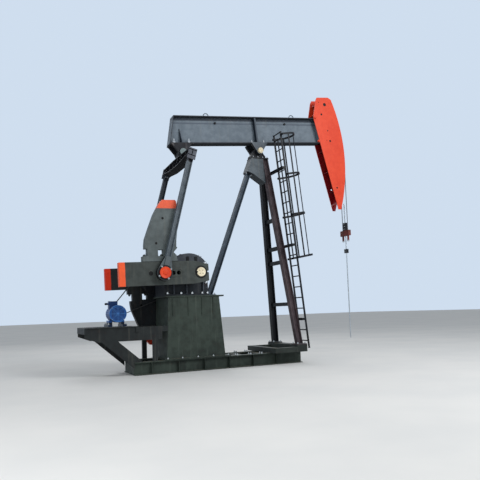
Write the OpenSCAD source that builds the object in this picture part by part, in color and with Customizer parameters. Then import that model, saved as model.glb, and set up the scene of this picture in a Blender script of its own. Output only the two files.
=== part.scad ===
// Beam pumping unit with cranks and counterweights, at rest with the cranks level.
// Millimetres. The origin lies on the floor under the crankshaft's centre, +X points to the
// horsehead, +Y away from the ladder's side and +Z up.

/* [Linkage] */
// Height of the crankshaft above the floor
shaft_z = 2700; // [2500:10:3000]
// Crankshaft to saddle bearing, level
saddle_x = 2340; // [2100:10:2600]
// Crankshaft to saddle bearing, upwards
saddle_rise = 3830; // [3600:10:4100]
// Crankshaft to wrist pin
crank_r = 1067; // [900:1:1100]
// Saddle bearing to equalizer bearing
tail_arm = 2505; // [2300:5:2700]
// Equalizer bearing to wrist pin
pitman_len = 3720; // [3600:5:3900]
// Crank's dip below level at rest, in degrees
crank_dip = 1.85; // [0:0.05:6]

/* [Walking beam] */
// Depth of the beam
beam_depth = 840; // [700:5:950]
// Width of the beam's flanges
beam_w = 320; // [260:5:360]
// Thickness of the flanges
beam_flange = 28; // [16:1:45]
// Thickness of the web
beam_web = 22; // [12:1:32]
// Bearing line to the beam's underside
beam_seat = 270; // [230:5:320]
// Saddle to the tail end of the upper flange
beam_tail = 2645; // [2600:5:2900]
// Saddle to the front end
beam_nose = 2330; // [2250:5:2400]

/* [Horsehead] */
// Radius of the hanging line's centre about the saddle
head_r = 3233; // [3150:1:3350]
// Thickness of the cheek plates
cheek_t = 18; // [12:1:25]
// Thickness of the curved track plate
track_t = 20; // [12:1:30]
// Diameter of a hanging line
line_d = 26; // [18:1:32]
// Distance of each hanging line from the middle
line_y = 140; // [110:1:142]

/* [Cranks] */
// Inner face of each crank from the middle
crank_in = 855; // [820:5:880]
// Thickness of a crank
crank_t = 180; // [140:5:200]
// Shaft centre to crank tip
crank_tip = 2225; // [2100:5:2350]
// Half depth of a crank
crank_half = 312; // [260:2:330]
// Radius of the crankshaft
shaft_r = 110; // [90:1:130]
// Radius of a wrist pin hole
pin_hole_r = 58; // [45:1:70]
// Distance between neighbouring wrist pin holes
pin_pitch = 145; // [120:1:150]
// Height of a counterweight above its crank's edge
weight_h = 1660; // [1400:5:1700]

/* [Pitmans] */
// Outer face of a crank to the inner face of its pitman
pitman_gap = 27; // [20:1:60]
// Width of a pitman along the machine
pitman_w = 140; // [120:2:200]
// Depth of a pitman across the machine
pitman_t = 160; // [120:1:170]
// Radius of a wrist bearing housing
wrist_r = 205; // [190:1:215]
// Equalizer bearing to the middle of the cross beam
equalizer_drop = 325; // [300:1:360]

/* [Post] */
// Width of a leg section
leg_w = 180; // [160:5:240]
// Thickness of a leg's flanges
leg_flange = 22; // [14:1:30]
// Thickness of a leg's web
leg_web = 16; // [10:1:22]
// Half spread of the front feet
foot_y = 760; // [650:5:850]
// Front feet ahead of the saddle
foot_ahead = 808; // [700:2:900]
// Rear foot from the crankshaft
rear_foot_x = 610; // [560:5:700]

/* [Reducer and pedestal] */
// Half width of the reducer housing
reducer_half = 480; // [420:5:520]
// Height of the pedestal's top above the floor
pedestal_z = 2080; // [1980:5:2180]
// Half width of the pedestal
pedestal_half = 600; // [540:5:640]
// Large sheave's axis behind the crankshaft
input_x = -682; // [-720:1:-640]
// Large sheave's axis below the crankshaft
input_drop = 78; // [40:1:120]
// Radius of the large sheave
sheave_r = 560; // [480:5:565]

/* [Motor] */
// Motor axis behind the crankshaft
motor_x = -2062; // [-2200:1:-2000]
// Motor axis above the floor
motor_z = 1640; // [1600:1:1700]
// Radius of the motor's ribs
motor_r = 235; // [200:1:245]
// Radius of the motor's sheave
motor_sheave_r = 132; // [110:1:150]

/* [Base] */
// Height of the skid runners
runner_h = 345; // [280:5:400]
// Width of a runner's flanges
runner_w = 220; // [180:5:260]
// Middle of each runner from the centre
runner_y = 520; // [460:5:540]
// Rear end of the skid
skid_rear = -1760; // [-1900:10:-1650]
// Front end of the skid
skid_front = 3320; // [3260:10:3400]
// Height of the post's base above the runners
post_base_h = 205; // [160:5:240]

/* [Ladder] */
// Distance between the ladder's rails
ladder_w = 430; // [380:5:460]
// Distance between rungs
rung_pitch = 323; // [280:1:340]
// Depth of the safety cage
cage_depth = 560; // [520:5:680]

/* [Hidden] */
$fn = 48;

// Colours
slate = [0.17, 0.20, 0.20];
black = [0.08, 0.09, 0.09];
red = [0.86, 0.22, 0.13];
blue = [0.10, 0.30, 0.62];
steel = [0.62, 0.63, 0.62];
cream = [0.83, 0.76, 0.60];
rust = [0.36, 0.23, 0.19];
grey = [0.48, 0.50, 0.49];

// Clearances
run_fit = 0.05;
seat_fit = 0.2;
side_gap = 10;

// Linkage worked out at rest
saddle = [saddle_x, shaft_z + saddle_rise];
wrist = [-crank_r * cos(crank_dip), shaft_z - crank_r * sin(crank_dip)];
reach = saddle - wrist;
reach_len = norm(reach);
along = (pitman_len * pitman_len - tail_arm * tail_arm + reach_len * reach_len) / (2 * reach_len);
aside = sqrt(pitman_len * pitman_len - along * along);
equalizer = wrist + reach * along / reach_len + [-reach[1], reach[0]] * aside / reach_len;
beam_tilt = atan2(saddle[1] - equalizer[1], saddle[0] - equalizer[0]);
pitman_lean = atan2(equalizer[0] - wrist[0], equalizer[1] - wrist[1]);

// Frames of the moving bodies
module at_beam() {
    translate([saddle[0], 0, saddle[1]])
        rotate([0, -beam_tilt, 0])
            children();
}
module at_pitman() {
    translate([equalizer[0], 0, equalizer[1]])
        rotate([0, pitman_lean, 0])
            children();
}
module at_crank() {
    translate([0, 0, shaft_z])
        rotate([0, -crank_dip, 0])
            children();
}

// Round bar along Y, centred on y
module bar_y(r, len, y = 0) {
    translate([0, y + len / 2, 0])
        rotate([90, 0, 0])
            cylinder(r = r, h = len);
}

// Outline in the X-Z plane carried along Y from y1 to y2
module slab_y(y1, y2) {
    translate([0, y2, 0])
        rotate([90, 0, 0])
            linear_extrude(height = y2 - y1)
                children();
}

// Both sides of the machine
module both_sides() {
    children();
    mirror([0, 1, 0])
        children();
}

// Places a Z-drawn member between two points, its section square to the machine
module member(from, to) {
    span = to - from;
    heading = atan2(span[1], span[0]);
    tilt = acos(span[2] / norm(span));
    translate(from)
        rotate([0, tilt, heading])
            rotate([0, 0, -heading])
                children();
}

// Wide flange outline, web along X
module h_outline(w, d, flange, web) {
    union() {
        translate([-w / 2, -d / 2])
            square([flange, d]);
        translate([w / 2 - flange, -d / 2])
            square([flange, d]);
        translate([-w / 2, -web / 2])
            square([w, web]);
    }
}

// Points on the circle through three points, from the first to the last
function circle_centre(a, b, c) =
    let (d = 2 * (a[0] * (b[1] - c[1]) + b[0] * (c[1] - a[1]) + c[0] * (a[1] - b[1])))
    let (aa = a * a, bb = b * b, cc = c * c)
    [
        (aa * (b[1] - c[1]) + bb * (c[1] - a[1]) + cc * (a[1] - b[1])) / d,
        (aa * (c[0] - b[0]) + bb * (a[0] - c[0]) + cc * (b[0] - a[0])) / d
    ];
function arc_points(a, b, c, count) =
    let (m = circle_centre(a, b, c))
    let (r = norm(a - m))
    let (start = atan2(a[1] - m[1], a[0] - m[0]))
    let (stop = atan2(c[1] - m[1], c[0] - m[0]))
    [for (i = [0:count]) m + r * [cos(start + (stop - start) * i / count),
                                  sin(start + (stop - start) * i / count)]];

// Base
runner_flange = 24;
runner_web = 16;
module runner(side) {
    color(slate)
        translate([skid_rear, side * runner_y, runner_h / 2])
            rotate([0, 90, 0])
                linear_extrude(height = skid_front - skid_rear)
                    h_outline(runner_h, runner_w, runner_flange, runner_web);
}
anchor_r = 17;
anchor_x = [skid_rear + 160, skid_front - 160];
anchor_off = 65;
module runner_drilled(side) {
    difference() {
        runner(side);
        for (x = anchor_x)
            translate([x, side * (runner_y + anchor_off), -1])
                cylinder(r = anchor_r, h = runner_flange + 2);
    }
}
module base_runner_near() { runner_drilled(-1); }
module base_runner_far() { runner_drilled(1); }

cross_w = 240;
cross_x = [skid_rear + 130, -700, 0, 700, 1450, 2200, skid_front - 130];
cross_len = 2 * (runner_y - runner_web / 2) - 2 * seat_fit;
module base_cross_beams() {
    color(slate)
        for (x = cross_x)
            translate([x - cross_w / 2, -cross_len / 2, 0])
                difference() {
                    cube([cross_w, cross_len, runner_h - runner_flange - seat_fit]);
                    for (y = [-1, cross_len - runner_w / 2])
                        translate([-1, y, -1])
                            cube([cross_w + 2, runner_w / 2 + 1, runner_flange + 1 + seat_fit]);
                }
}

// Post base, a box beam across the runners with a plate under each leg
post_base_top = runner_h + post_base_h;
foot_x = saddle_x + foot_ahead;
post_base_half = foot_y + 190;
post_base_w = 330;
module post_base() {
    color(slate)
        union() {
            translate([foot_x - post_base_w / 2, -post_base_half, runner_h])
                cube([post_base_w, 2 * post_base_half, post_base_h]);
            both_sides()
                translate([foot_x - 900, -post_base_half, runner_h])
                    cube([900, 180, post_base_h - 60]);
            translate([foot_x - 900, -post_base_half, runner_h])
                cube([180, 2 * post_base_half, post_base_h - 60]);
        }
}

// Pedestal, a plate box with a heavy top plate and ribs
pedestal_front_top = 680;
pedestal_front_foot = 830;
pedestal_rear_top = -810;
pedestal_rear_foot = -870;
top_plate_t = 40;
foot_plate = 320;
foot_plate_t = 30;
top_plate_front = rear_foot_x + foot_plate / 2 + 50;
top_plate_rear = -890;
function pedestal_rear(z) =
    pedestal_rear_foot + (pedestal_rear_top - pedestal_rear_foot) * (z - runner_h)
    / (pedestal_z - top_plate_t - runner_h);
module gearbox_pedestal() {
    color(slate)
        union() {
            slab_y(-pedestal_half, pedestal_half)
                polygon([
                    [pedestal_rear_foot, runner_h],
                    [pedestal_front_foot, runner_h],
                    [pedestal_front_top, pedestal_z - top_plate_t],
                    [pedestal_rear_top, pedestal_z - top_plate_t]
                ]);
            translate([top_plate_rear, -pedestal_half - 20, pedestal_z - top_plate_t])
                cube([top_plate_front - top_plate_rear, 2 * pedestal_half + 40, top_plate_t]);
            translate([pedestal_rear_foot - 60, -pedestal_half - 50, runner_h])
                cube([pedestal_front_foot - pedestal_rear_foot + 200, 2 * pedestal_half + 100, 30]);
            both_sides()
                for (x = [-700, -250, 150, 480])
                    translate([x, -pedestal_half - 20, pedestal_z - top_plate_t - 520])
                        cube([16, 21, 521]);
        }
}

// Gear reducer
split_z = shaft_z;
housing_rear = -870;
housing_front = 400;
module reducer_housing() {
    color(slate)
        difference() {
            union() {
                translate([housing_rear, -reducer_half, pedestal_z])
                    cube([housing_front - housing_rear, 2 * reducer_half, split_z - pedestal_z]);
                translate([housing_rear, -reducer_half - 85, pedestal_z])
                    cube([housing_front - housing_rear, 2 * reducer_half + 170, 45]);
                translate([housing_rear - 20, -reducer_half - 40, split_z - 34])
                    cube([housing_front - housing_rear + 40, 2 * reducer_half + 80, 34]);
            }
            translate([0, 0, shaft_z])
                bar_y(shaft_r + run_fit, 2 * reducer_half + 400);
            translate([input_x, 0, shaft_z - input_drop])
                bar_y(input_shaft_r + seat_fit, 2 * reducer_half + 400);
        }
}
input_shaft_r = 55;
dome_x = -130;
dome_top = 3270;
module reducer_cover() {
    color(slate)
        difference() {
            union() {
                slab_y(-reducer_half, reducer_half)
                    polygon(concat(
                        [[housing_front - 5, split_z + 10], [housing_front - 5, dome_top - 312]],
                        arc_points([390, dome_top - 306], [180, dome_top - 86], [dome_x, dome_top], 12),
                        arc_points(
                            [dome_x - 40, dome_top - 1], [-528, dome_top - 88], [-800, dome_top - 262], 10
                        ),
                        [[housing_rear + 25, split_z + 190], [housing_rear + 25, split_z + 10]]
                    ));
                translate([housing_rear - 20, -reducer_half - 40, split_z])
                    cube([housing_front - housing_rear + 40, 2 * reducer_half + 80, 34]);
            }
            translate([0, 0, shaft_z])
                bar_y(shaft_r + run_fit, 2 * reducer_half + 400);
        }
}

// Sheaves, belts and brake
belt_count = 5;
belt_w = 20;
belt_t = 15;
belt_pitch = 25;
belt_y = 720;
sheave_w = belt_count * belt_pitch + 5;
groove_d = 13;
function belt_place(i) = belt_y + (i - (belt_count - 1) / 2) * belt_pitch;
module sheave(r, hub_r, bore) {
    difference() {
        union() {
            difference() {
                bar_y(r, sheave_w, belt_y);
                for (i = [0:belt_count - 1])
                    difference() {
                        bar_y(r + 1, belt_w + 2, belt_place(i));
                        bar_y(r - groove_d, belt_w + 4, belt_place(i));
                    }
                bar_y(r - 55, sheave_w + 2, belt_y);
            }
            bar_y(r - 54, 30, belt_y);
            bar_y(hub_r, sheave_w, belt_y);
        }
        bar_y(bore, sheave_w + 2, belt_y);
    }
}
module large_sheave() {
    color(black)
        translate([input_x, 0, shaft_z - input_drop])
            sheave(sheave_r, 130, input_shaft_r + seat_fit);
}
module brake_drum() {
    color(black)
        translate([input_x, 0, shaft_z - input_drop])
            union() {
                bar_y(input_shaft_r, 2 * belt_y + sheave_w, 0);
                bar_y(230, 90, -belt_y + 20);
                bar_y(250, 16, -belt_y - 28);
                bar_y(110, 40, -belt_y + 85);
            }
}
module motor_sheave() {
    color(black)
        translate([motor_x, 0, motor_z])
            union() {
                difference() {
                    bar_y(motor_sheave_r, sheave_w, belt_y);
                    for (i = [0:belt_count - 1])
                        difference() {
                            bar_y(motor_sheave_r + 1, belt_w + 2, belt_place(i));
                            bar_y(motor_sheave_r - groove_d, belt_w + 4, belt_place(i));
                        }
                }
                bar_y(34, belt_y - motor_back, (belt_y + motor_back) / 2 + 0.3);
            }
}
// Round loop about the two sheaves, grown by extra
module loop_outline(extra) {
    big = [input_x, shaft_z - input_drop];
    small = [motor_x, motor_z];
    big_r = sheave_r - groove_d + extra;
    small_r = motor_sheave_r - groove_d + extra;
    line = small - big;
    heading = atan2(line[1], line[0]);
    wrap = acos((big_r - small_r) / norm(line));
    union() {
        translate(big)
            circle(r = big_r, $fn = 96);
        translate(small)
            circle(r = small_r);
        polygon([
            big + big_r * [cos(heading + wrap), sin(heading + wrap)],
            small + small_r * [cos(heading + wrap), sin(heading + wrap)],
            small + small_r * [cos(heading - wrap), sin(heading - wrap)],
            big + big_r * [cos(heading - wrap), sin(heading - wrap)]
        ]);
    }
}
module drive_belts() {
    color(black)
        for (i = [0:belt_count - 1])
            slab_y(belt_place(i) - belt_w / 2, belt_place(i) + belt_w / 2)
                difference() {
                    loop_outline(belt_t);
                    loop_outline(seat_fit);
                }
}

// Motor and its platform
platform_z = 1290;
platform_rear = -3040;
platform_front = -1640;
platform_half = 640;
platform_frame_h = 160;
module motor_platform() {
    color(slate)
        union() {
            translate([platform_rear, -platform_half, platform_z - 20])
                cube([platform_front - platform_rear, 2 * platform_half, 20]);
            both_sides() {
                platform_arm();
                platform_brace();
                translate([-1260, -arm_y - brace_w / 2, runner_h])
                    cube([128, brace_w, platform_z - platform_frame_h - runner_h + 1]);
            }
            for (x = [platform_rear, platform_front - 80])
                translate([x, -platform_half, platform_z - platform_frame_h])
                    cube([80, 2 * platform_half, platform_frame_h - 19]);
        }
}
brace_w = 90;
arm_y = 570;
arm_low = platform_z - platform_frame_h;
module platform_arm() {
    slab_y(-arm_y - 40, -arm_y + 40)
        polygon([
            [platform_rear, arm_low],
            [pedestal_rear(arm_low) - 0.3, arm_low],
            [pedestal_rear(platform_z - 19) - 0.3, platform_z - 19],
            [platform_rear, platform_z - 19]
        ]);
}
module platform_brace() {
    intersection() {
        member([platform_rear + 520, -arm_y, arm_low + 80], [skid_rear + 120, -runner_y - 20, runner_h - 60])
            translate([-brace_w / 2, -brace_w / 2, 0])
                cube([brace_w, brace_w, 2200]);
        translate([platform_rear, -pedestal_half - 200, runner_h])
            cube([4000, 2 * pedestal_half, arm_low - runner_h + 1]);
    }
}
motor_front = 80;
motor_back = 560;
motor_len = motor_back - motor_front;
motor_base = motor_z - 290;
module motor_body() {
    color(blue)
        union() {
            translate([motor_x, 0, motor_z])
                bar_y(motor_r - 18, motor_len, (motor_front + motor_back) / 2);
            for (a = [0:15:345])
                translate([motor_x, 0, motor_z])
                    rotate([0, a, 0])
                        translate([motor_r - 24, motor_front + 40, -3])
                            cube([24, motor_len - 80, 6]);
            terminal_box();
            both_sides_of_motor()
                translate([motor_x - 210, motor_front + 60, motor_base])
                    cube([90, motor_len - 120, 110]);
            both_sides_of_motor()
                translate([motor_x - 250, motor_front - 60, platform_z])
                    cube([110, motor_len + 160, motor_base - platform_z]);
        }
}
module both_sides_of_motor() {
    children();
    translate([2 * motor_x, 0, 0])
        mirror([1, 0, 0])
            children();
}
cover_depth = 130;
module motor_fan_cover() {
    color(blue)
        translate([motor_x, 0, motor_z])
            difference() {
                bar_y(motor_r, cover_depth, motor_front - cover_depth / 2);
                for (r = [60:40:200])
                    difference() {
                        bar_y(r + 14, 12, motor_front - cover_depth + 2);
                        bar_y(r, 14, motor_front - cover_depth + 2);
                    }
            }
}
module terminal_box() {
    union() {
        translate([motor_x - 200, motor_front + 60, motor_z + 90])
            cube([230, 190, motor_r + 20]);
        translate([motor_x - 250, motor_front + 155, motor_z + motor_r + 40])
            rotate([0, 90, 0])
                cylinder(r = 26, h = 52);
    }
}

// Post
leg_top = [saddle_x + 239, 138, shaft_z + saddle_rise - 507];
leg_foot = [foot_x, foot_y, post_base_top];
bearing_h = 190;
top_z = shaft_z + saddle_rise - bearing_h;
top_plate = 40;
module flip(side) {
    mirror([0, side > 0 ? 0 : 1, 0])
        children();
}
module front_leg(side) {
    over = 500;
    dir = (leg_top - leg_foot) / norm(leg_top - leg_foot);
    flip(side)
        union() {
            intersection() {
                member(leg_foot - dir * over, leg_top + dir * over)
                    linear_extrude(height = norm(leg_top - leg_foot) + 2 * over)
                        h_outline(leg_w, leg_w - 14, leg_flange, leg_web);
                translate([0, 0, post_base_top + foot_plate_t])
                    cube([2 * foot_x, 2 * foot_y, top_z - top_plate - post_base_top - foot_plate_t]);
            }
            translate([foot_x - foot_plate / 2, foot_y - foot_plate / 2 - 20, post_base_top])
                cube([foot_plate, foot_plate + 40, foot_plate_t]);
        }
}
module post_leg_near() { color(rust) front_leg(-1); }
module post_leg_far() { color(black) front_leg(1); }
rear_top = [saddle_x - 324, 0, shaft_z + saddle_rise - 691];
rear_foot = [rear_foot_x, 0, pedestal_z];
rear_flange = 225;
rear_flange_t = 26;
module post_leg_rear() {
    dir = (rear_top - rear_foot) / norm(rear_top - rear_foot);
    color(black)
        union() {
            intersection() {
                member(rear_foot - dir * 300, rear_top)
                    linear_extrude(height = norm(rear_top - rear_foot) + 300)
                        h_outline(leg_w - 40, leg_w - 20, leg_flange, leg_web);
                translate([0, -leg_w, pedestal_z + foot_plate_t])
                    cube([2 * saddle_x, 2 * leg_w, 2 * saddle_rise]);
            }
            translate([rear_foot_x - foot_plate / 2, -foot_plate / 2 - 20, pedestal_z])
                cube([foot_plate, foot_plate + 40, foot_plate_t]);
            member(rear_top - dir * rear_flange_t, rear_top)
                translate([-rear_flange / 2, -rear_flange / 2, 0])
                    cube([rear_flange, rear_flange, rear_flange_t]);
        }
}
function leg_at(z) = leg_foot + (leg_top - leg_foot) * (z - leg_foot[2]) / (leg_top[2] - leg_foot[2]);
brace_z = [1760, 3050, 3490, 4370];
brace_h = 110;
function brace_end(z) = leg_at(z)[1] - leg_web / 2 - 0.4;
module post_braces() {
    color(black)
        for (z = brace_z)
            let (low = z - brace_h / 2)
                let (high = z + brace_h / 2)
                    translate([leg_at(z)[0] - 50, 0, 0])
                        rotate([90, 0, 90])
                            linear_extrude(height = 100)
                                polygon([
                                    [-brace_end(low), low],
                                    [brace_end(low), low],
                                    [brace_end(high), high],
                                    [-brace_end(high), high]
                                ]);
}
top_plate_x = [-240, 315];
box_half = 190;
box_end = 90;
box_low = top_z - 805;
box_gap = 2;
function leg_back(z) = leg_at(z)[0] - leg_w / 2 * stretch - box_gap;
module post_top() {
    dir = (rear_top - rear_foot) / norm(rear_top - rear_foot);
    seat_mid = [rear_top[0], rear_top[2]] + 0.3 * [dir[0], dir[2]];
    across = [dir[2], -dir[0]];
    color(black)
        union() {
            translate([saddle_x + top_plate_x[0], -box_half - 10, top_z - top_plate])
                cube([top_plate_x[1] - top_plate_x[0], 2 * box_half + 20, top_plate]);
            slab_y(-box_half, box_half)
                polygon([
                    seat_mid - box_end * across,
                    seat_mid + (rear_flange / 2 + 1) * across,
                    [leg_back(box_low), box_low],
                    [leg_back(top_z - top_plate), top_z - top_plate + 1],
                    [saddle_x + top_plate_x[0], top_z - top_plate + 1]
                ]);
        }
}
bearing_half = 150;
bearing_foot = 235;
saddle_shaft_r = 70;
module saddle_bearing() {
    color(black)
        difference() {
            union() {
                slab_y(-bearing_half, bearing_half)
                    polygon([
                        [saddle[0] - bearing_foot, top_z],
                        [saddle[0] + bearing_foot, top_z],
                        [saddle[0] + bearing_foot, top_z + 50],
                        [saddle[0] + 125, saddle[1]],
                        [saddle[0] - 125, saddle[1]],
                        [saddle[0] - bearing_foot, top_z + 50]
                    ]);
                translate([saddle[0], 0, saddle[1]])
                    bar_y(135, 2 * bearing_half);
            }
            translate([saddle[0], 0, saddle[1]])
                bar_y(saddle_shaft_r + run_fit, 2 * bearing_half + 10);
        }
}

// Ladder and cage, drawn upright and leaned back with the near leg
ladder_y = -foot_y;
ladder_ahead = 205;
ladder_lean = (leg_foot[0] - leg_top[0]) / (leg_top[2] - leg_foot[2]);
ladder_low = 440;
ladder_high = 6960;
stretch = sqrt(1 + ladder_lean * ladder_lean);
function ladder_x(z) = leg_foot[0] + ladder_ahead - (z - leg_foot[2]) * ladder_lean;
function up_ladder(z) = (z - ladder_low) * stretch;
module at_ladder() {
    translate([ladder_x(ladder_low), ladder_y, ladder_low])
        rotate([0, -atan(ladder_lean), 0])
            children();
}
rail_w = 60;
rail_t = 14;
rung_r = 17;
leg_face = leg_w / 2 * stretch + 0.9;
rung_count = floor((ladder_high - ladder_low - 300) / rung_pitch);
bracket_z = [5850, 3520, 1300];
bracket_h = 70;
module ladder() {
    color(black)
        union() {
            at_ladder() {
                for (side = [-1, 1])
                    translate([-rail_w / 2, side * ladder_w / 2 - rail_t / 2, 0])
                        cube([rail_w, rail_t, up_ladder(ladder_high)]);
                for (i = [0:rung_count])
                    translate([0, 0, 220 + i * rung_pitch])
                        bar_y(rung_r, ladder_w + 4);
                translate([0, 0, up_ladder(ladder_high) - rung_r - 4])
                    bar_y(rung_r, ladder_w + 4);
            }
            for (z = bracket_z)
                ladder_bracket(z - bracket_h / 2, z + bracket_h / 2);
        }
}
module ladder_bracket(low, high) {
    slab_y(ladder_y - ladder_w / 2 - 10, -leg_at(low)[1] + 80)
        polygon([
            [leg_at(low)[0] + leg_face, low],
            [ladder_x(low) - rail_w / 2 + 4, low],
            [ladder_x(high) - rail_w / 2 + 4, high],
            [leg_at(high)[0] + leg_face, high]
        ]);
}
hoop_z = [3130, 4420, 5635, 6850];
hoop_tilt = 5;
hoop_h = 60;
hoop_t = 8;
cage_half = 340;
function hoop_grow(i) = i == 0 ? 70 : 0;
module hoop_outline(depth, half) {
    union() {
        intersection() {
            translate([depth - half, 0])
                circle(r = half, $fn = 72);
            translate([0, -half])
                square([depth, 2 * half]);
        }
        translate([0, -half])
            square([depth - half, 2 * half]);
    }
}
module cage_hoop(grow) {
    depth = cage_depth + grow;
    half = cage_half + grow / 2;
    hook = half - ladder_w / 2 - rail_t / 2 - 0.3;
    linear_extrude(height = hoop_h)
        union() {
            difference() {
                hoop_outline(depth, half);
                translate([-1, 0])
                    hoop_outline(depth - hoop_t + 1, half - hoop_t);
            }
            translate([0, -half])
                square([hoop_t, hook]);
            translate([0, half - hook])
                square([hoop_t, hook]);
        }
}
strip_angles = [-95, -62, 62, 95];
strip_w = 44;
strip_t = 9;
// Height of a tilted hoop's middle above its back, at a strip
function strip_rise(a) = (cage_depth - cage_half + cage_half * cos(a)) * tan(hoop_tilt);
// Tab from a strip out to the wider lowest hoop
function tab_len(a) = hoop_grow(0) / 2 * (1 + cos(a)) + 5.5 + 5;
module ladder_cage() {
    low = up_ladder(hoop_z[0]) - hoop_h / 2;
    high = up_ladder(hoop_z[3]) + hoop_h / 2;
    color(black)
        at_ladder()
            union() {
                for (i = [0:3])
                    translate([0, 0, up_ladder(hoop_z[i]) - hoop_h / 2])
                        rotate([0, -hoop_tilt, 0])
                            cage_hoop(hoop_grow(i));
                for (a = strip_angles)
                    translate([cage_depth - cage_half, 0, low + strip_rise(a)])
                        rotate([0, 0, a])
                            translate([cage_half - hoop_t - 5, -strip_w / 2, 0]) {
                                cube([strip_t, strip_w, high - low]);
                                cube([tab_len(a), strip_w, hoop_h - 10]);
                            }
            }
}

// Walking beam
tail_rake = 208;
tail_plate = 16;
tail_low = beam_tail + tail_rake;
saddle_stiff = [-111, 29];
module walking_beam() {
    stiff_w = (beam_w - beam_web) / 2 - 12;
    beam_top = beam_seat + beam_depth;
    color(slate)
        at_beam()
            union() {
                translate([tail_plate - 3 - tail_low, -beam_w / 2, beam_seat])
                    cube([tail_low + 3 - tail_plate + beam_nose, beam_w, beam_flange]);
                translate([5 - beam_tail, -beam_w / 2, beam_top - beam_flange])
                    cube([beam_tail - 5 + beam_nose, beam_w, beam_flange]);
                slab_y(-beam_web / 2, beam_web / 2)
                    polygon([
                        [-tail_low, beam_seat],
                        [beam_nose, beam_seat],
                        [beam_nose, beam_top],
                        [-beam_tail, beam_top]
                    ]);
                slab_y(-beam_w / 2, beam_w / 2)
                    polygon([
                        [-tail_low, beam_seat],
                        [tail_plate - tail_low, beam_seat],
                        [tail_plate - beam_tail, beam_top],
                        [-beam_tail, beam_top]
                    ]);
                both_sides() {
                    translate([saddle_stiff[0], beam_web / 2 - 1, beam_seat + 1])
                        cube([saddle_stiff[1] - saddle_stiff[0], stiff_w + 1, beam_depth - 2]);
                    slab_y(beam_web / 2 - 1, beam_web / 2 + stiff_w)
                        polygon([
                            [-tail_arm - 50, beam_seat + 1],
                            [-tail_arm + 50, beam_seat + 1],
                            [-tail_arm + 10, beam_seat + 430],
                            [-tail_arm - 10, beam_seat + 430]
                        ]);
                }
                for (x = [-1560, 1440])
                    translate([x, 0, beam_seat + beam_depth - 1])
                        lifting_eye();
            }
}
module lifting_eye() {
    difference() {
        union() {
            translate([-55, -12, 0])
                cube([110, 24, 61]);
            translate([0, 0, 61])
                bar_y(55, 24);
        }
        translate([0, 0, 63])
            bar_y(28, 30);
    }
}
lug_in = bearing_half + side_gap;
lug_t = 100;
module lug_outline(top_rear, top_front, foot_r) {
    lug_top = beam_seat - seat_fit;
    union() {
        circle(r = foot_r);
        polygon([
            [-foot_r, 0],
            [foot_r, 0],
            [top_front, lug_top - 30],
            [top_front, lug_top],
            [-top_rear, lug_top],
            [-top_rear, lug_top - 30]
        ]);
    }
}
module saddle_lugs() {
    color(black)
        at_beam()
            both_sides()
                difference() {
                    slab_y(lug_in, lug_in + lug_t)
                        lug_outline(243, 295, 105);
                    bar_y(saddle_shaft_r + seat_fit, 1000);
                }
}
saddle_cap_r = 85;
module saddle_shaft() {
    color(cream)
        at_beam()
            union() {
                bar_y(saddle_shaft_r, 2 * (lug_in + lug_t) + 10);
                both_sides()
                    bar_y(saddle_cap_r, 60, lug_in + lug_t + 30.2);
            }
}
eq_half = 130;
eq_shaft_r = 60;
eq_lug_in = eq_half + side_gap;
eq_lug_t = 75;
eq_plate_x = [-333, 363];
eq_plate_t = 30;
module equalizer_lugs() {
    color(black)
        at_beam()
            translate([-tail_arm, 0, 0])
                union() {
                    both_sides() {
                        slab_y(eq_lug_in, eq_lug_in + eq_lug_t)
                            lug_outline(300, 300, 130);
                        bar_y(100, 46, eq_lug_in + eq_lug_t + 22);
                    }
                    translate([eq_plate_x[0], -eq_lug_in - eq_lug_t, beam_seat - seat_fit - eq_plate_t])
                        cube([eq_plate_x[1] - eq_plate_x[0], 2 * (eq_lug_in + eq_lug_t), eq_plate_t]);
                    bar_y(eq_shaft_r, 2 * eq_lug_in + 2);
                }
}

// Horsehead, drawn level about the saddle
cheek_in = beam_w / 2;
head_top_front = [2979, 1742];
head_mid_front = [head_r - 3, -100];
head_tip_front = [2795, -1985];
head_tip_rear = [2690, -1975];
head_rear_low = [2201, 1041];
head_rear_high = [2200, 1176];
head_top_rear = [2370, 1722];
track_r = head_r - line_d / 2 - 0.3;
track_low = -34;
track_high = 30.5;
hand_holes = [
    [2698, 1570, 58], [2521, 1234, 36], [2687, 682, 24], [2727, 331, 36],
    [2749, -1254, 30], [2472, 1644, 14], [2598, 352, 14]
];
module cheek_outline() {
    difference() {
        polygon(concat(
            [head_tip_rear, head_rear_low, head_rear_high, head_top_rear,
             [2429, 1803], [2871, 1818]],
            arc_points(head_top_front, head_mid_front, head_tip_front, 40)
        ));
        for (h = hand_holes)
            translate([h[0], h[1]])
                circle(r = h[2]);
    }
}
module head_cheek_near() {
    color(red)
        at_beam()
            slab_y(-cheek_in - cheek_t, -cheek_in)
                cheek_outline();
}
module head_cheek_far() {
    color(red)
        at_beam()
            slab_y(cheek_in, cheek_in + cheek_t)
                cheek_outline();
}
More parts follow.
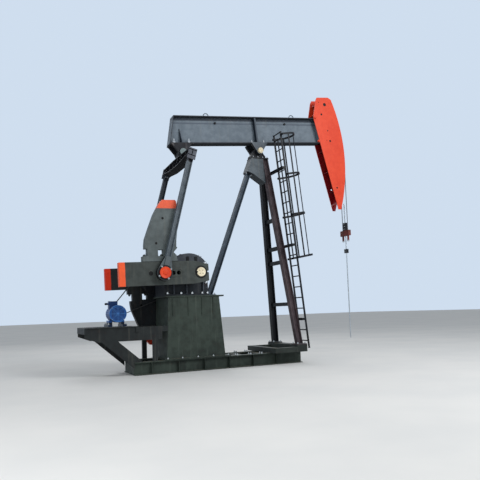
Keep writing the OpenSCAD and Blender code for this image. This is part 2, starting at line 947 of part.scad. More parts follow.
// Ring stretch about the saddle, between two angles
module head_ring(r_in, r_out, y1, y2, low, high) {
    rotate([90, 0, 0])
        rotate([0, 0, low])
            rotate_extrude(angle = high - low, $fn = 180)
                translate([r_in, -y2])
                    square([r_out - r_in, y2 - y1]);
}
module head_track() {
    color(red)
        at_beam() {
            head_ring(track_r - track_t, track_r, -cheek_in, cheek_in, track_low, track_high);
            head_diaphragms();
        }
}
function rear_edge_x(w) =
    head_tip_rear[0] + (head_rear_low[0] - head_tip_rear[0]) * (w - head_tip_rear[1])
    / (head_rear_low[1] - head_tip_rear[1]);
diaphragm_w = [-1350, -700, 0, beam_seat + beam_depth + 130, 1570];
module head_diaphragms() {
    for (w = diaphragm_w)
        let (rear = (w > 1100 ? 2250 + max(0, (w - 1176) * 0.31) : rear_edge_x(w) + 30))
            let (front = sqrt(pow(track_r - track_t / 2, 2) - w * w))
                translate([rear, -cheek_in + seat_fit, w - 6])
                    cube([front - rear, 2 * (cheek_in - seat_fit), 12]);
}
module head_lines() {
    color(steel)
        at_beam()
            for (side = [-1, 1])
                rotate([90, 0, 0])
                    rotate([0, 0, 0.02 - beam_tilt])
                        rotate_extrude(angle = track_high + beam_tilt - 1, $fn = 180)
                            translate([head_r, side * line_y])
                                circle(r = line_d / 2, $fn = 16);
}

// Equalizer beam, pitmans and wrist bearings, drawn upright about the equalizer bearing
pitman_y = crank_in + crank_t + pitman_gap + pitman_t / 2;
cross_end = pitman_y + pitman_t / 2 + 20;
flat_end = pitman_y - pitman_t / 2 - 20;
module equalizer_beam() {
    color(black)
        at_pitman()
            difference() {
                union() {
                    bar_y(115, 2 * eq_half);
                    translate([-90, -eq_half, -equalizer_drop + 60])
                        cube([180, 2 * eq_half, equalizer_drop - 60]);
                    rotate([0, 0, 90])
                        slab_y(-120, 120)
                                polygon([
                                    [-cross_end, -pitman_top],
                                    [-flat_end, -pitman_top],
                                    [-350, -pitman_top - 80],
                                    [350, -pitman_top - 80],
                                    [flat_end, -pitman_top],
                                    [cross_end, -pitman_top],
                                    [cross_end, -equalizer_drop + 90],
                                    [300, -equalizer_drop + 130],
                                    [-300, -equalizer_drop + 130],
                                    [-cross_end, -equalizer_drop + 90]
                                ]);
                }
                bar_y(eq_shaft_r + run_fit, 3 * eq_half);
            }
}
pitman_top = equalizer_drop + 90;
neck_top = 440;
pitman_foot = pitman_len - neck_top;
module pitman(side) {
    color(grey)
        at_pitman()
            translate([0, side * pitman_y, -pitman_foot])
                union() {
                    linear_extrude(height = pitman_foot - pitman_top - 40)
                        h_outline(pitman_w, pitman_t, 16, 12);
                    translate([0, 0, pitman_foot - pitman_top - 41])
                        translate([-pitman_w / 2 - 10, -pitman_t / 2, 0])
                            cube([pitman_w + 20, pitman_t, 41]);
                }
}
module pitman_near() { pitman(-1); }
module pitman_far() { pitman(1); }
wrist_in = crank_in + crank_t + side_gap;
wrist_out = pitman_y + pitman_t / 2 + 15;
neck_half = pitman_w / 2 + 8;
module wrist_bearing(side) {
    mid = (wrist_in + 10 + wrist_out) / 2;
    color(slate)
        at_pitman()
            flip(side)
                translate([0, 0, -pitman_len])
                    union() {
                        bar_y(wrist_r, wrist_out - wrist_in - 10, mid);
                        bar_y(pin_hole_r + 20, wrist_out - wrist_in - 20, (wrist_in + wrist_out) / 2 - 5);
                        bar_y(150, 26, wrist_out + 13);
                        slab_y(wrist_in + 12, wrist_out - 30)
                            polygon([
                                [-wrist_r * 0.92, 80],
                                [wrist_r * 0.92, 80],
                                [neck_half, neck_top],
                                [-neck_half, neck_top]
                            ]);
                        translate([-pitman_w / 2 + 6, wrist_out - 31, 160])
                            cube([pitman_w - 12, 31, neck_top - 160]);
                    }
}
module wrist_bearing_near() { wrist_bearing(-1); }
module wrist_bearing_far() { wrist_bearing(1); }

// Cranks, drawn level about the shaft with the tip towards -X
crank_out = crank_in + crank_t;
hub_back = 225;
slit_half = 9;
slit_mouth = 34;
end_disc_r = 125;
module crankshaft() {
    color(cream)
        at_crank()
            union() {
                bar_y(shaft_r, 2 * crank_out);
                both_sides()
                    bar_y(end_disc_r, 26, crank_out + 13.2);
            }
}
module crank_outline() {
    polygon([
        [-crank_tip, -crank_half],
        [-crank_tip, crank_half],
        [-200, crank_half],
        [-90, 290],
        [60, 235],
        [hub_back, 215],
        [hub_back, slit_mouth],
        [hub_back - 60, slit_half],
        [shaft_r - 10, slit_half],
        [shaft_r - 10, -slit_half],
        [hub_back - 60, -slit_half],
        [hub_back, -slit_mouth],
        [hub_back, -245],
        [60, -270],
        [-200, -crank_half]
    ]);
}
module crank(side) {
    color(slate)
        at_crank()
            flip(side)
                difference() {
                    slab_y(crank_in, crank_out)
                        crank_outline();
                    bar_y(shaft_r + 0.1, 2 * crank_out + 100);
                    for (i = [0:3])
                        translate([-crank_r + i * pin_pitch, 0, 0])
                            bar_y(pin_hole_r, 2 * crank_out + 100);
                }
}
module crank_near() { crank(-1); }
module crank_far() { crank(1); }
module wrist_pins() {
    color(steel)
        at_crank()
            both_sides()
                translate([-crank_r, 0, 0])
                    bar_y(pin_hole_r - seat_fit, crank_t - 2, (crank_in + crank_out) / 2);
}

// Counterweight on the upper edge, drawn level about the shaft. Each point is a distance out from
// the shaft and a height above the crank's edge, for a weight 1660 high.
weight_drawn = 1660;
weight_edge = [
    [645, 0], [670, 162], [745, 240], [635, 364], [665, 388], [654, 568], [607, 893], [601, 1603],
    [632, 1660], [994, 1655], [1085, 1547], [1240, 1272], [1385, 919], [1507, 598], [1527, 439],
    [1530, 343], [1462, 343], [1462, 147], [1598, 143], [1598, 0]
];
weight_window = [[1029, 147], [1177, 147], [1177, 315], [1029, 315]];
weight_holes = [[1007, 1156], [1214, 484]];
function on_weight(p) = [-p[0], crank_half + seat_fit + p[1] * weight_h / weight_drawn];
module weight_outline() {
    difference() {
        polygon([for (p = weight_edge) on_weight(p)]);
        polygon([for (p = weight_window) on_weight(p)]);
        for (p = weight_holes)
            translate(on_weight(p))
                circle(r = 34);
    }
}
module counterweight() {
    color(grey)
        slab_y(crank_in + 4, crank_out + 4)
            weight_outline();
}
module counterweight_near() {
    at_crank()
        mirror([0, 1, 0])
            counterweight();
}
module counterweight_far() {
    at_crank()
        mirror([0, 0, 1])
            counterweight();
}

// Hanger and polished rod
line_x = saddle_x + head_r;
carrier_z = 4075;
carrier_h = 180;
socket_low = 3830;
rod_r = 18;
rod_top = 5080;
rod_end = 600;
rod_pin_r = 15;
rod_pin_h = 60;
module carrier_bar() {
    color(rust)
        difference() {
            union() {
                translate([line_x - 50, -230, carrier_z - carrier_h / 2])
                    cube([100, 460, carrier_h]);
                for (side = [-1, 1])
                    translate([line_x, side * line_y, socket_low])
                        cylinder(r = 34, h = carrier_z - carrier_h / 2 - socket_low + 1);
            }
            translate([line_x, 0, carrier_z - carrier_h])
                cylinder(r = rod_r + 2, h = 2 * carrier_h);
            for (side = [-1, 1])
                translate([line_x, side * line_y, carrier_z - carrier_h / 2])
                    cylinder(r = line_d / 2 + 3, h = 2 * carrier_h);
        }
}
module rod_clamps() {
    color(steel)
        for (z = [[carrier_z + carrier_h / 2, 260], [3410, 130]])
            difference() {
                translate([line_x - 45, -60, z[0]])
                    cube([90, 120, z[1]]);
                translate([line_x, 0, z[0] - 1])
                    cylinder(r = rod_r + seat_fit, h = z[1] + 2);
            }
}
module polished_rod() {
    color(steel)
        union() {
            translate([line_x, 0, rod_end + rod_pin_h])
                cylinder(r = rod_r, h = rod_top - rod_end - rod_pin_h);
            translate([line_x, 0, rod_end])
                cylinder(r = rod_pin_r, h = rod_pin_h + 1);
        }
}
module hanger_lines() {
    color(steel)
        for (side = [-1, 1])
            translate([line_x, side * line_y, carrier_z - carrier_h / 2 + 0.3])
                cylinder(r = line_d / 2, h = saddle[1] - carrier_z + carrier_h / 2, $fn = 24);
}

base_runner_near();
base_runner_far();
base_cross_beams();
post_base();
gearbox_pedestal();
reducer_housing();
reducer_cover();
large_sheave();
brake_drum();
drive_belts();
motor_platform();
motor_body();
motor_fan_cover();
motor_sheave();
post_leg_near();
post_leg_far();
post_leg_rear();
post_braces();
post_top();
saddle_bearing();
ladder();
ladder_cage();
walking_beam();
saddle_lugs();
saddle_shaft();
equalizer_lugs();
head_cheek_near();
head_cheek_far();
head_track();
head_lines();
equalizer_beam();
pitman_near();
pitman_far();
wrist_bearing_near();
wrist_bearing_far();
crankshaft();
crank_near();
crank_far();
counterweight_near();
counterweight_far();
wrist_pins();
carrier_bar();
rod_clamps();
hanger_lines();
polished_rod();
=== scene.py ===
"""Looks of a beam pumping unit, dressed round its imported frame.

Each sub-assembly is a class that holds its sizes in metres, builds its small pieces as numpy
surfaces and gives paint to its own nodes of the frame. The finishes come first, then the
surface tools, then the sub-assemblies from the ground up, and the studio last.
"""
import logging
import math
from dataclasses import dataclass
from enum import Enum

import bpy
import numpy as np
from mathutils import Matrix, Vector


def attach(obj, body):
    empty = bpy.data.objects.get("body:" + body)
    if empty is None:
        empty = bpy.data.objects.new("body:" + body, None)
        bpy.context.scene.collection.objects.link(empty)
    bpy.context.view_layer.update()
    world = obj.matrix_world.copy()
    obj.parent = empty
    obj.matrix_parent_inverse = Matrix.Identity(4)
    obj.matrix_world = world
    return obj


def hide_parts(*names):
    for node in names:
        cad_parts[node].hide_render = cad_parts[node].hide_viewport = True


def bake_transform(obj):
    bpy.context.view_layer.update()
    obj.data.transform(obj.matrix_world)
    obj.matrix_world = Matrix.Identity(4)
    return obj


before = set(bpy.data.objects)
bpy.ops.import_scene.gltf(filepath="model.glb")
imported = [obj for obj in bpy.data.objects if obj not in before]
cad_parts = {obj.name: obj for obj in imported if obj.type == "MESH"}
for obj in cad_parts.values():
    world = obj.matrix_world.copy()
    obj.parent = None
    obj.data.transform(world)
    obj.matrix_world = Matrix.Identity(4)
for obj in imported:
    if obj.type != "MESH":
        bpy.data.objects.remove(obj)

LOG = logging.getLogger("pumping_unit")
Pair = tuple[float, float]
Triple = tuple[float, float, float]
Rgb = tuple[int, int, int]
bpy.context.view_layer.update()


class Body(str, Enum):
    """The frame's moving bodies."""

    BASE = "base"
    CRANK = "crank"
    BEAM = "beam"
    PITMAN = "pitman"
    CARRIER = "carrier"


def srgb(red: int, green: int, blue: int) -> tuple[float, float, float, float]:
    """Linear colour of three 0-255 screen values: each is divided by 255 and raised to 2.2."""
    return tuple((v / 255.0) ** 2.2 for v in (red, green, blue)) + (1.0,)


# ---------------------------------------------------------------- shader expressions


class Link:
    """One socket of a shader graph that can be used in plain arithmetic."""

    def __init__(self, graph: "Graph", socket: bpy.types.NodeSocket) -> None:
        """Wraps the socket of that graph."""
        self.graph = graph
        self.socket = socket

    def _math(self, operation: str, first: "Link | float", second: "Link | float") -> "Link":
        """A Math node on the two values."""
        return self.graph.link(
            "ShaderNodeMath", {"operation": operation}, {0: first, 1: second}
        )

    def __add__(self, other: "Link | float") -> "Link":
        """Sum."""
        return self._math("ADD", self, other)

    def __sub__(self, other: "Link | float") -> "Link":
        """Difference."""
        return self._math("SUBTRACT", self, other)

    def __mul__(self, other: "Link | float") -> "Link":
        """Product."""
        return self._math("MULTIPLY", self, other)

    __radd__ = __add__
    __rmul__ = __mul__

    def __rsub__(self, other: float) -> "Link":
        """Difference with this one on the right."""
        return self._math("SUBTRACT", other, self)

    def step(self, low: float, high: float) -> "Link":
        """Smooth rise from 0 at low to 1 at high."""
        return self.graph.link(
            "ShaderNodeMapRange",
            {"interpolation_type": "SMOOTHSTEP", "clamp": True},
            {"Value": self, "From Min": low, "From Max": high},
        )

    def larger(self, other: "Link | float") -> "Link":
        """The larger of the two."""
        return self._math("MAXIMUM", self, other)

    def size(self) -> "Link":
        """The value without its sign."""
        return self._math("ABSOLUTE", self, 0.0)


class Graph:
    """A node tree with one way to add any node."""

    def __init__(self, owner: bpy.types.Material | bpy.types.World) -> None:
        """Empties the owner's tree."""
        owner.use_nodes = True
        self.owner = owner
        self.tree = owner.node_tree
        self.tree.nodes.clear()

    def node(
        self, kind: str, settings: dict | None = None, inputs: dict | None = None
    ) -> bpy.types.Node:
        """Adds a node.

        Args:
            kind: the node's type.
            settings: its own settings, made first.
            inputs: a number, colour or Link for each named or numbered socket.

        Returns:
            The node.
        """
        made = self.tree.nodes.new(kind)
        for key, value in (settings or {}).items():
            setattr(made, key, value)
        for key, value in (inputs or {}).items():
            if isinstance(value, Link):
                self.tree.links.new(value.socket, made.inputs[key])
            else:
                made.inputs[key].default_value = value
        return made

    def link(
        self,
        kind: str,
        settings: dict | None = None,
        inputs: dict | None = None,
        output: int | str = 0,
    ) -> Link:
        """Adds a node and returns one of its outputs."""
        return Link(self, self.node(kind, settings, inputs).outputs[output])

    def place(self, stretch: Triple = (1.0, 1.0, 1.0), turn: Triple = (0.0, 0.0, 0.0)) -> Link:
        """Object coordinates, scaled along each axis and turned."""
        here = self.link("ShaderNodeTexCoord", output="Object")
        return self.link(
            "ShaderNodeMapping", None, {"Vector": here, "Scale": stretch, "Rotation": turn}
        )

    def noise(self, where: Link, scale: float, detail: float = 5.0, rough: float = 0.55) -> Link:
        """Fractal noise, 0 to 1."""
        return self.link(
            "ShaderNodeTexNoise",
            None,
            {"Vector": where, "Scale": scale, "Detail": detail, "Roughness": rough},
        )

    def mix(self, share: Link | float, low: Link | tuple, high: Link | tuple) -> Link:
        """Colour between low and high."""
        made = self.node("ShaderNodeMix", {"data_type": "RGBA"})
        for index, value in ((0, share), (6, low), (7, high)):
            if isinstance(value, Link):
                self.tree.links.new(value.socket, made.inputs[index])
            else:
                made.inputs[index].default_value = value
        return Link(self, made.outputs[2])

    def along(self, direction: Triple) -> Link:
        """Distance in metres from the origin along a direction."""
        here = self.link("ShaderNodeTexCoord", output="Object")
        return self.link(
            "ShaderNodeVectorMath", {"operation": "DOT_PRODUCT"}, {0: here, 1: direction}, "Value"
        )

    def about(self, axis: Triple) -> Link:
        """Distance in metres from a line along Y through a place."""
        here = self.link("ShaderNodeTexCoord", output="Object")
        flat = self.link("ShaderNodeVectorMath", {"operation": "MULTIPLY"}, {0: here, 1: (1, 0, 1)})
        return self.link(
            "ShaderNodeVectorMath", {"operation": "DISTANCE"}, {0: flat, 1: axis}, "Value"
        )

    def facing_up(self) -> Link:
        """Height component of the surface normal."""
        normal = self.link("ShaderNodeTexCoord", output="Normal")
        return self.link("ShaderNodeSeparateXYZ", None, {0: normal}, "Z")


class Surface(Graph):
    """A material's graph with its shader in place."""

    def __init__(self, name: str) -> None:
        """Starts a material of that name."""
        super().__init__(bpy.data.materials.new(name))
        self.shader = self.node("ShaderNodeBsdfPrincipled")
        self.node("ShaderNodeOutputMaterial", None, {0: Link(self, self.shader.outputs[0])})

    @property
    def material(self) -> bpy.types.Material:
        """The finished material."""
        return self.owner

    def set(self, **sockets: "Link | float | tuple") -> None:
        """Sets the shader's sockets, an underscore standing for a space."""
        for key, value in sockets.items():
            socket = self.shader.inputs[key.replace("_", " ")]
            if isinstance(value, Link):
                self.tree.links.new(value.socket, socket)
            else:
                socket.default_value = value

    def bump(self, height: Link, strength: float, distance: float) -> None:
        """Feeds a height through Bump to the shader's normal."""
        self.set(
            Normal=self.link(
                "ShaderNodeBump",
                None,
                {"Height": height, "Strength": strength, "Distance": distance},
                "Normal",
            )
        )


# ---------------------------------------------------------------- finishes


# Painted shade: the near black that faces pointing down are darkened towards.
UNDER_SHADE = srgb(20, 23, 28)
UP = (0.0, 0.0, 1.0)
ACROSS = (0.0, 1.0, 0.0)
EDGE = 0.004

# Places at rest in the frame: the pivots, the motor's axis, and the rear leg's top and way.
SADDLE = (2.34, 0.0, 6.53)
HANG = (-0.15161, 0.0, 6.27132)
WRIST = (-1.06644, 0.0, 2.66556)
SHAFT = (0.0, 0.0, 2.7)
MOTOR = (-2.062, 0.0, 1.64)
LEG_TOP = (2.016, 0.0, 5.839)
LEG_WAY = (0.3503, 0.0, 0.9366)

# How far the bodies' own drawings are turned at rest, in radians.
BEAM_TILT = math.radians(5.927)
CRANK_DIP = math.radians(1.85)
PITMAN_LEAN = -math.radians(14.236)


def tilted(turn: float) -> tuple[Triple, Triple]:
    """The level and upright directions of a drawing turned that far, in radians."""
    c, s = math.cos(turn), math.sin(turn)
    return (c, 0.0, s), (-s, 0.0, c)


def reach(direction: Triple, place: Triple) -> float:
    """Distance of a place in the middle plane from the origin along a direction: x x' + z z'."""
    return direction[0] * place[0] + direction[2] * place[2]


class Reading(Enum):
    """What a zone's limit measures."""

    ALONG = "distance along a direction"
    ASIDE = "distance along a direction, either way"
    ROUND = "distance from a line along Y"


@dataclass(frozen=True)
class Limit:
    """A range of one reading; the vector is a direction, or the line's place for ROUND."""

    reading: Reading
    vector: Triple
    low: float = -1000.0
    high: float = 1000.0

    def share(self, g: Graph, waver: Link) -> Link:
        """Rises from 0 to 1 inside the range, with an edge 4 mm wide that wavers."""
        value = g.about(self.vector) if self.reading is Reading.ROUND else g.along(self.vector)
        if self.reading is Reading.ASIDE:
            value = value.size()
        value = value + waver
        above = value.step(self.low, self.low + EDGE)
        return above * (1.0 - value.step(self.high - EDGE, self.high))


@dataclass(frozen=True)
class Zone:
    """A second paint where every limit holds."""

    colour: Rgb
    limits: tuple[Limit, ...]
    cover: float = 1.0
    waver: float = 0.012


def sharp(colour: Rgb, *limits: Limit) -> Zone:
    """A zone whose edges don't waver."""
    return Zone(colour, limits, waver=0.0)


@dataclass(frozen=True)
class Paint:
    """Site paint with uneven tone, rain runs, settled dust, painted shade on undersides and rust
    specks.
    """

    name: str
    colour: Rgb
    shade: Rgb
    runs: float = 0.35
    run_colour: Rgb = (120, 118, 108)
    dust: float = 0.35
    dust_colour: Rgb = (150, 143, 126)
    rust: float = 0.5
    rust_colour: Rgb = (104, 58, 36)
    roughness: float = 0.55
    sheen: float = 0.22
    # How strongly faces that point down are darkened with painted shade.
    under_shade: float = 0.6
    zones: tuple[Zone, ...] = ()

    def material(self) -> bpy.types.Material:
        """Builds the paint.

        Broad and middle noise set the tone, noise stretched down the Z axis draws the runs,
        dust lies where the normal points up, painted shade darkens faces where it points down,
        and specks open where two noises are both high.
        """
        g = Surface(self.name)
        here = g.place()
        broad = g.noise(here, 0.8)
        middle = g.noise(here, 6.0, 7.0)
        fine = g.noise(here, 55.0, 4.0)
        falls = g.noise(g.place((11.0, 11.0, 0.7)), 1.0, 6.0)
        tone = (broad * 0.55 + middle * 0.45).step(0.36, 0.64)
        colour = g.mix(tone, srgb(*self.colour), srgb(*self.shade))
        for zone in self.zones:
            inside = zone.limits[0].share(g, middle * zone.waver)
            for limit in zone.limits[1:]:
                inside = inside * limit.share(g, middle * zone.waver)
            cover = inside * (zone.cover - tone * 0.12)
            colour = g.mix(cover, colour, srgb(*zone.colour))
        run = falls.step(0.54, 0.74) * self.runs
        colour = g.mix(run, colour, srgb(*self.run_colour))
        settled = g.facing_up().step(0.35, 0.95) * middle.step(0.3, 0.62) * self.dust
        colour = g.mix(settled, colour, srgb(*self.dust_colour))
        # Painted shade: faces whose normal points down are darkened towards near black.
        under = (0.0 - g.facing_up()).step(0.5, 0.98) * self.under_shade
        colour = g.mix(under, colour, UNDER_SHADE)
        specks = (fine.step(0.6, 0.68) * middle.step(0.5, 0.66)) * self.rust
        colour = g.mix(specks, colour, srgb(*self.rust_colour))
        rough = middle * 0.22 + (self.roughness - 0.1)
        g.set(
            Base_Color=colour,
            Roughness=rough.larger(settled * 0.9).larger(under * 1.5),
            Specular_IOR_Level=self.sheen,
        )
        g.bump(fine * 0.4 + middle * 0.6, 0.12, 0.004)
        return g.material


@dataclass(frozen=True)
class BareSteel:
    """Bare or galvanised steel with a spangled tone and brown staining."""

    name: str
    colour: Rgb = (178, 182, 184)
    stain: Rgb = (112, 84, 62)
    stained: float = 0.25
    roughness: float = 0.36
    metallic: float = 0.85

    def material(self) -> bpy.types.Material:
        """Builds the steel: cell noise gives the spangle and soft noise the stains."""
        g = Surface(self.name)
        here = g.place()
        cells = g.link("ShaderNodeTexVoronoi", None, {"Vector": here, "Scale": 90.0}, "Distance")
        soft = g.noise(here, 14.0, 6.0)
        fine = g.noise(g.place((60.0, 60.0, 8.0)), 3.0, 4.0)
        spangle = cells.step(0.1, 0.8) * 0.35
        colour = g.mix(spangle, srgb(*self.colour), srgb(140, 145, 150))
        patch = soft.step(0.5, 0.7) * self.stained
        colour = g.mix(patch, colour, srgb(*self.stain))
        g.set(
            Base_Color=colour,
            Metallic=self.metallic - patch * 0.7,
            Roughness=soft * 0.2 + fine * 0.12 + (self.roughness - 0.14),
        )
        g.bump(fine, 0.08, 0.002)
        return g.material


@dataclass(frozen=True)
class Rubber:
    """Dull belt rubber with dusty flanks."""

    name: str = "belt_rubber"

    def material(self) -> bpy.types.Material:
        """Builds the rubber from two noises."""
        g = Surface(self.name)
        here = g.place()
        soft = g.noise(here, 9.0, 6.0)
        fine = g.noise(here, 120.0, 3.0)
        g.set(
            Base_Color=g.mix(soft.step(0.4, 0.7) * 0.5, srgb(24, 24, 25), srgb(74, 71, 66)),
            Roughness=soft * 0.2 + 0.62,
        )
        g.bump(fine, 0.1, 0.002)
        return g.material


class Finish:
    """Every finish of the unit, made once and handed out by name."""

    def __init__(self) -> None:
        """Builds the materials."""
        finishes = [*self.ground_paints(), *self.top_paints(), *self.crank_paints(), *self.metals()]
        self._made = {f.name: f.material() for f in finishes}

    @staticmethod
    def ground_paints() -> list[Paint]:
        """Paints of the skid, the pedestal, the drive and the post."""
        return [
            Paint("frame_paint", (52, 58, 54), (36, 41, 39), runs=0.2, rust=0.45),
            Paint(
                "pedestal_paint", (54, 63, 57), (37, 44, 40), runs=0.22,
                run_colour=(96, 106, 98), dust=0.4,
            ),
            Paint("reducer_paint", (72, 77, 84), (54, 58, 65), runs=0.15, dust=0.3),
            # Painted shade: the platform's paint is darkened for the shade it lies in.
            Paint("platform_shade_paint", (38, 42, 42), (27, 30, 31), runs=0.2, dust=0.3, rust=0.45),
            # Painted shade: the housing is painted darker than the cover, for the crank's shade on
            # it.
            Paint("housing_shade_paint", (41, 46, 51), (28, 32, 37), runs=0.15, dust=0.3),
            Paint("black_paint", (26, 29, 34), (15, 17, 21), runs=0.12, dust=0.2, rust=0.3),
            Paint(
                "post_paint", (72, 84, 96), (52, 62, 73), runs=0.2, dust=0.3,
                zones=(
                    sharp(
                        (24, 26, 31),
                        Limit(Reading.ALONG, LEG_WAY, reach(LEG_WAY, LEG_TOP) - 0.028),
                    ),
                ),
            ),
            Paint(
                "head_box_paint", (82, 90, 96), (62, 70, 76), runs=0.25, dust=0.3,
                zones=(sharp((26, 29, 34), Limit(Reading.ALONG, UP, 6.2965)),),
            ),
            Paint(
                "worn_leg_paint", (84, 74, 78), (58, 50, 54), runs=0.45, rust=0.8,
                run_colour=(108, 82, 78), roughness=0.6,
            ),
            Paint(
                "motor_paint", (46, 98, 172), (30, 72, 136), runs=0.15, dust=0.25, rust=0.2,
                roughness=0.36,
                zones=(
                    sharp(
                        (32, 58, 104),
                        Limit(Reading.ROUND, MOTOR, 0.232), Limit(Reading.ALONG, UP, 1.7),
                    ),
                    sharp((28, 34, 46), Limit(Reading.ALONG, UP, high=1.409)),
                    sharp(
                        (22, 46, 104),
                        Limit(Reading.ROUND, MOTOR, -1.0, 0.175),
                        Limit(Reading.ALONG, (0.0, -1.0, 0.0), 0.03),
                    ),
                ),
            ),
            Paint("grille_paint", (76, 130, 196), (58, 106, 172), runs=0.1, dust=0.2, rust=0.2),
        ]

    @staticmethod
    def top_paints() -> list[Paint]:
        """Paints of the beam, the head, the pitmans and the carrier."""
        along, up = tilted(BEAM_TILT)
        u0, w0 = reach(along, SADDLE), reach(up, SADDLE)
        pitman_up = tilted(PITMAN_LEAN)[1]
        # Near black on the pitmans' upper end, from 0.575 m below the equalizer bearing upwards.
        pitman_top_band = sharp(
            (18, 20, 26), Limit(Reading.ALONG, pitman_up, reach(pitman_up, HANG) - 0.575)
        )
        shaded_edge = Zone(
            (36, 42, 54),
            (
                Limit(Reading.ALONG, up, w0 + 1.005, w0 + 1.0825),
                Limit(Reading.ASIDE, ACROSS, 0.0, 0.155),
            ),
            cover=0.85,
        )
        # A darker band along the web, 0.16 to 0.21 m below the beam's top.
        darker_web_band = Zone(
            (72, 81, 93),
            (Limit(Reading.ALONG, up, w0 + 0.9, w0 + 0.95), Limit(Reading.ASIDE, ACROSS, 0.0, 0.1)),
            cover=0.8,
        )
        # Painted shade over the stiffener above the saddle and the tail gusset, with a thin strip
        # either side, for their shadows on the web.
        shaded_ribs = [
            sharp(
                (30, 37, 48),
                Limit(Reading.ALONG, along, u0 + low, u0 + high),
                Limit(Reading.ASIDE, ACROSS, 0.012, 0.1525),
            )
            for low, high in ((-0.012, 0.05), (-2.49, -2.452))
        ]
        dark_edge = sharp((28, 31, 38), Limit(Reading.ASIDE, ACROSS, 0.1555))
        # Painted shade: the darker red 'inside' covers the head's inner faces below w0 + 1.13 m,
        # which the cheeks and beam shade; higher up they keep the plain red.
        below = Limit(Reading.ALONG, up, high=w0 + 1.13)
        inside = (122, 24, 34)
        head = dict(
            runs=0.1, run_colour=(200, 72, 50), dust=0.1, rust=0.12, roughness=0.42, under_shade=0.4
        )
        return [
            Paint(
                "beam_paint", (106, 117, 127), (90, 101, 111), runs=0.2, dust=0.3, rust=0.3,
                under_shade=0.9, zones=(shaded_edge, darker_web_band, *shaded_ribs, dark_edge),
            ),
            Paint(
                "pitman_paint", (98, 107, 114), (78, 87, 95), runs=0.18, rust=0.3, zones=(pitman_top_band,)
            ),
            # Painted shade: the far pitman is a darker copy of the near one's paint, for the shade
            # it stands in.
            Paint("far_pitman_shade_paint", (44, 51, 60), (32, 38, 46), runs=0.15, rust=0.3),
            Paint(
                "wrist_paint", (24, 27, 31), (15, 17, 20), runs=0.15, rust=0.3,
                zones=(
                    sharp(
                        (84, 92, 96),
                        Limit(Reading.ROUND, WRIST, 0.2), Limit(Reading.ASIDE, ACROSS, 1.2025),
                    ),
                ),
            ),
            Paint(
                "saddle_paint", (30, 33, 38), (19, 21, 26), runs=0.2, rust=0.3,
                zones=(sharp((84, 92, 100), Limit(Reading.ASIDE, ACROSS, 0.2555)),),
            ),
            Paint(
                "lug_paint", (30, 32, 38), (19, 21, 26), runs=0.45, run_colour=(138, 132, 132),
                rust=0.4,
                zones=(
                    sharp(
                        (112, 126, 128),
                        Limit(Reading.ASIDE, ACROSS, 0.2155),
                        Limit(Reading.ROUND, HANG, high=0.104),
                    ),
                ),
            ),
            Paint("equalizer_paint", (24, 25, 31), (15, 16, 21), runs=0.15, dust=0.6, rust=0.3),
            Paint("end_plate_paint", (88, 92, 100), (66, 70, 78), runs=0.3, rust=0.4),
            Paint(
                "head_paint", (217, 72, 43), (205, 62, 36),
                zones=(
                    # Painted shade on the cheeks' inner faces.
                    sharp(inside, Limit(Reading.ASIDE, ACROSS, -1.0, 0.1645), below),
                ),
                **head,
            ),
            Paint(
                "track_paint", (220, 78, 52), (206, 68, 44),
                # Painted shade on the track's inner face.
                zones=(sharp(inside, Limit(Reading.ROUND, SADDLE, 0.0, 3.206), below),), **head,
            ),
            Paint(
                "cap_paint", (234, 224, 196), (208, 193, 160), runs=0.2, run_colour=(128, 104, 76),
                rust=0.4, under_shade=0.2,
            ),
            Paint("carrier_rust", (112, 52, 48), (80, 38, 36), runs=0.3, rust=1.0, roughness=0.7),
        ]

    @staticmethod
    def crank_paints() -> list[Paint]:
        """Paints of the cranks, their weights and the wrist covers, red at the outer ends."""
        along, up = tilted(CRANK_DIP)
        tip = Limit(Reading.ALONG, along, high=reach(along, SHAFT) - 2.06)
        near_top = Limit(Reading.ALONG, up, low=reach(up, SHAFT) + 1.745)
        far_top = Limit(Reading.ALONG, up, high=reach(up, SHAFT) - 1.745)
        crank = dict(runs=0.12, rust=0.4)
        weight = dict(runs=0.15, dust=0.35)
        return [
            Paint(
                "crank_paint", (66, 71, 69), (52, 57, 55), dust=0.3,
                zones=(Zone((238, 91, 50), (tip,)),), **crank,
            ),
            Paint(
                "far_crank_paint", (36, 39, 40), (25, 28, 29), dust=0.25,
                zones=(Zone((226, 58, 30), (tip,)),), **crank,
            ),
            Paint(
                "near_weight_paint", (92, 100, 101), (74, 81, 82),
                zones=(Zone((226, 94, 64), (near_top,)),), **weight,
            ),
            # Painted shade: the far weight's grey and red are darker copies of the near weight's,
            # for the shade it hangs in.
            Paint(
                "far_weight_shade_paint", (32, 36, 38), (22, 25, 27),
                zones=(Zone((206, 62, 36), (far_top,)),), **weight,
            ),
            Paint("cover_red", (220, 74, 40), (196, 58, 30), runs=0.12, rust=0.25, roughness=0.38),
            # Painted shade: near black for the insides of holes, pockets and gaps that lie in
            # shade; also the shaft ends' seal rings.
            Paint("near_black_and_shade", (12, 12, 13), (7, 7, 8), runs=0.1, dust=0.1, rust=0.2),
        ]

    @staticmethod
    def metals() -> list["BareSteel | Rubber"]:
        """Unpainted steel and belt rubber."""
        return [
            BareSteel("bolt_steel"),
            BareSteel("rod_steel", (182, 190, 195), stained=0.35, roughness=0.28, metallic=0.8),
            BareSteel("wire_steel", (98, 101, 106), stained=0.4, roughness=0.5, metallic=0.6),
            Rubber(),
        ]

    def dress(self, target: bpy.types.Object, name: str) -> bpy.types.Object:
        """Gives a piece or node that one finish in all its slots and returns it."""
        if not target.material_slots:
            target.data.materials.append(None)
        for slot in target.material_slots:
            slot.material = self._made[name]
        return target


# ---------------------------------------------------------------- surfaces


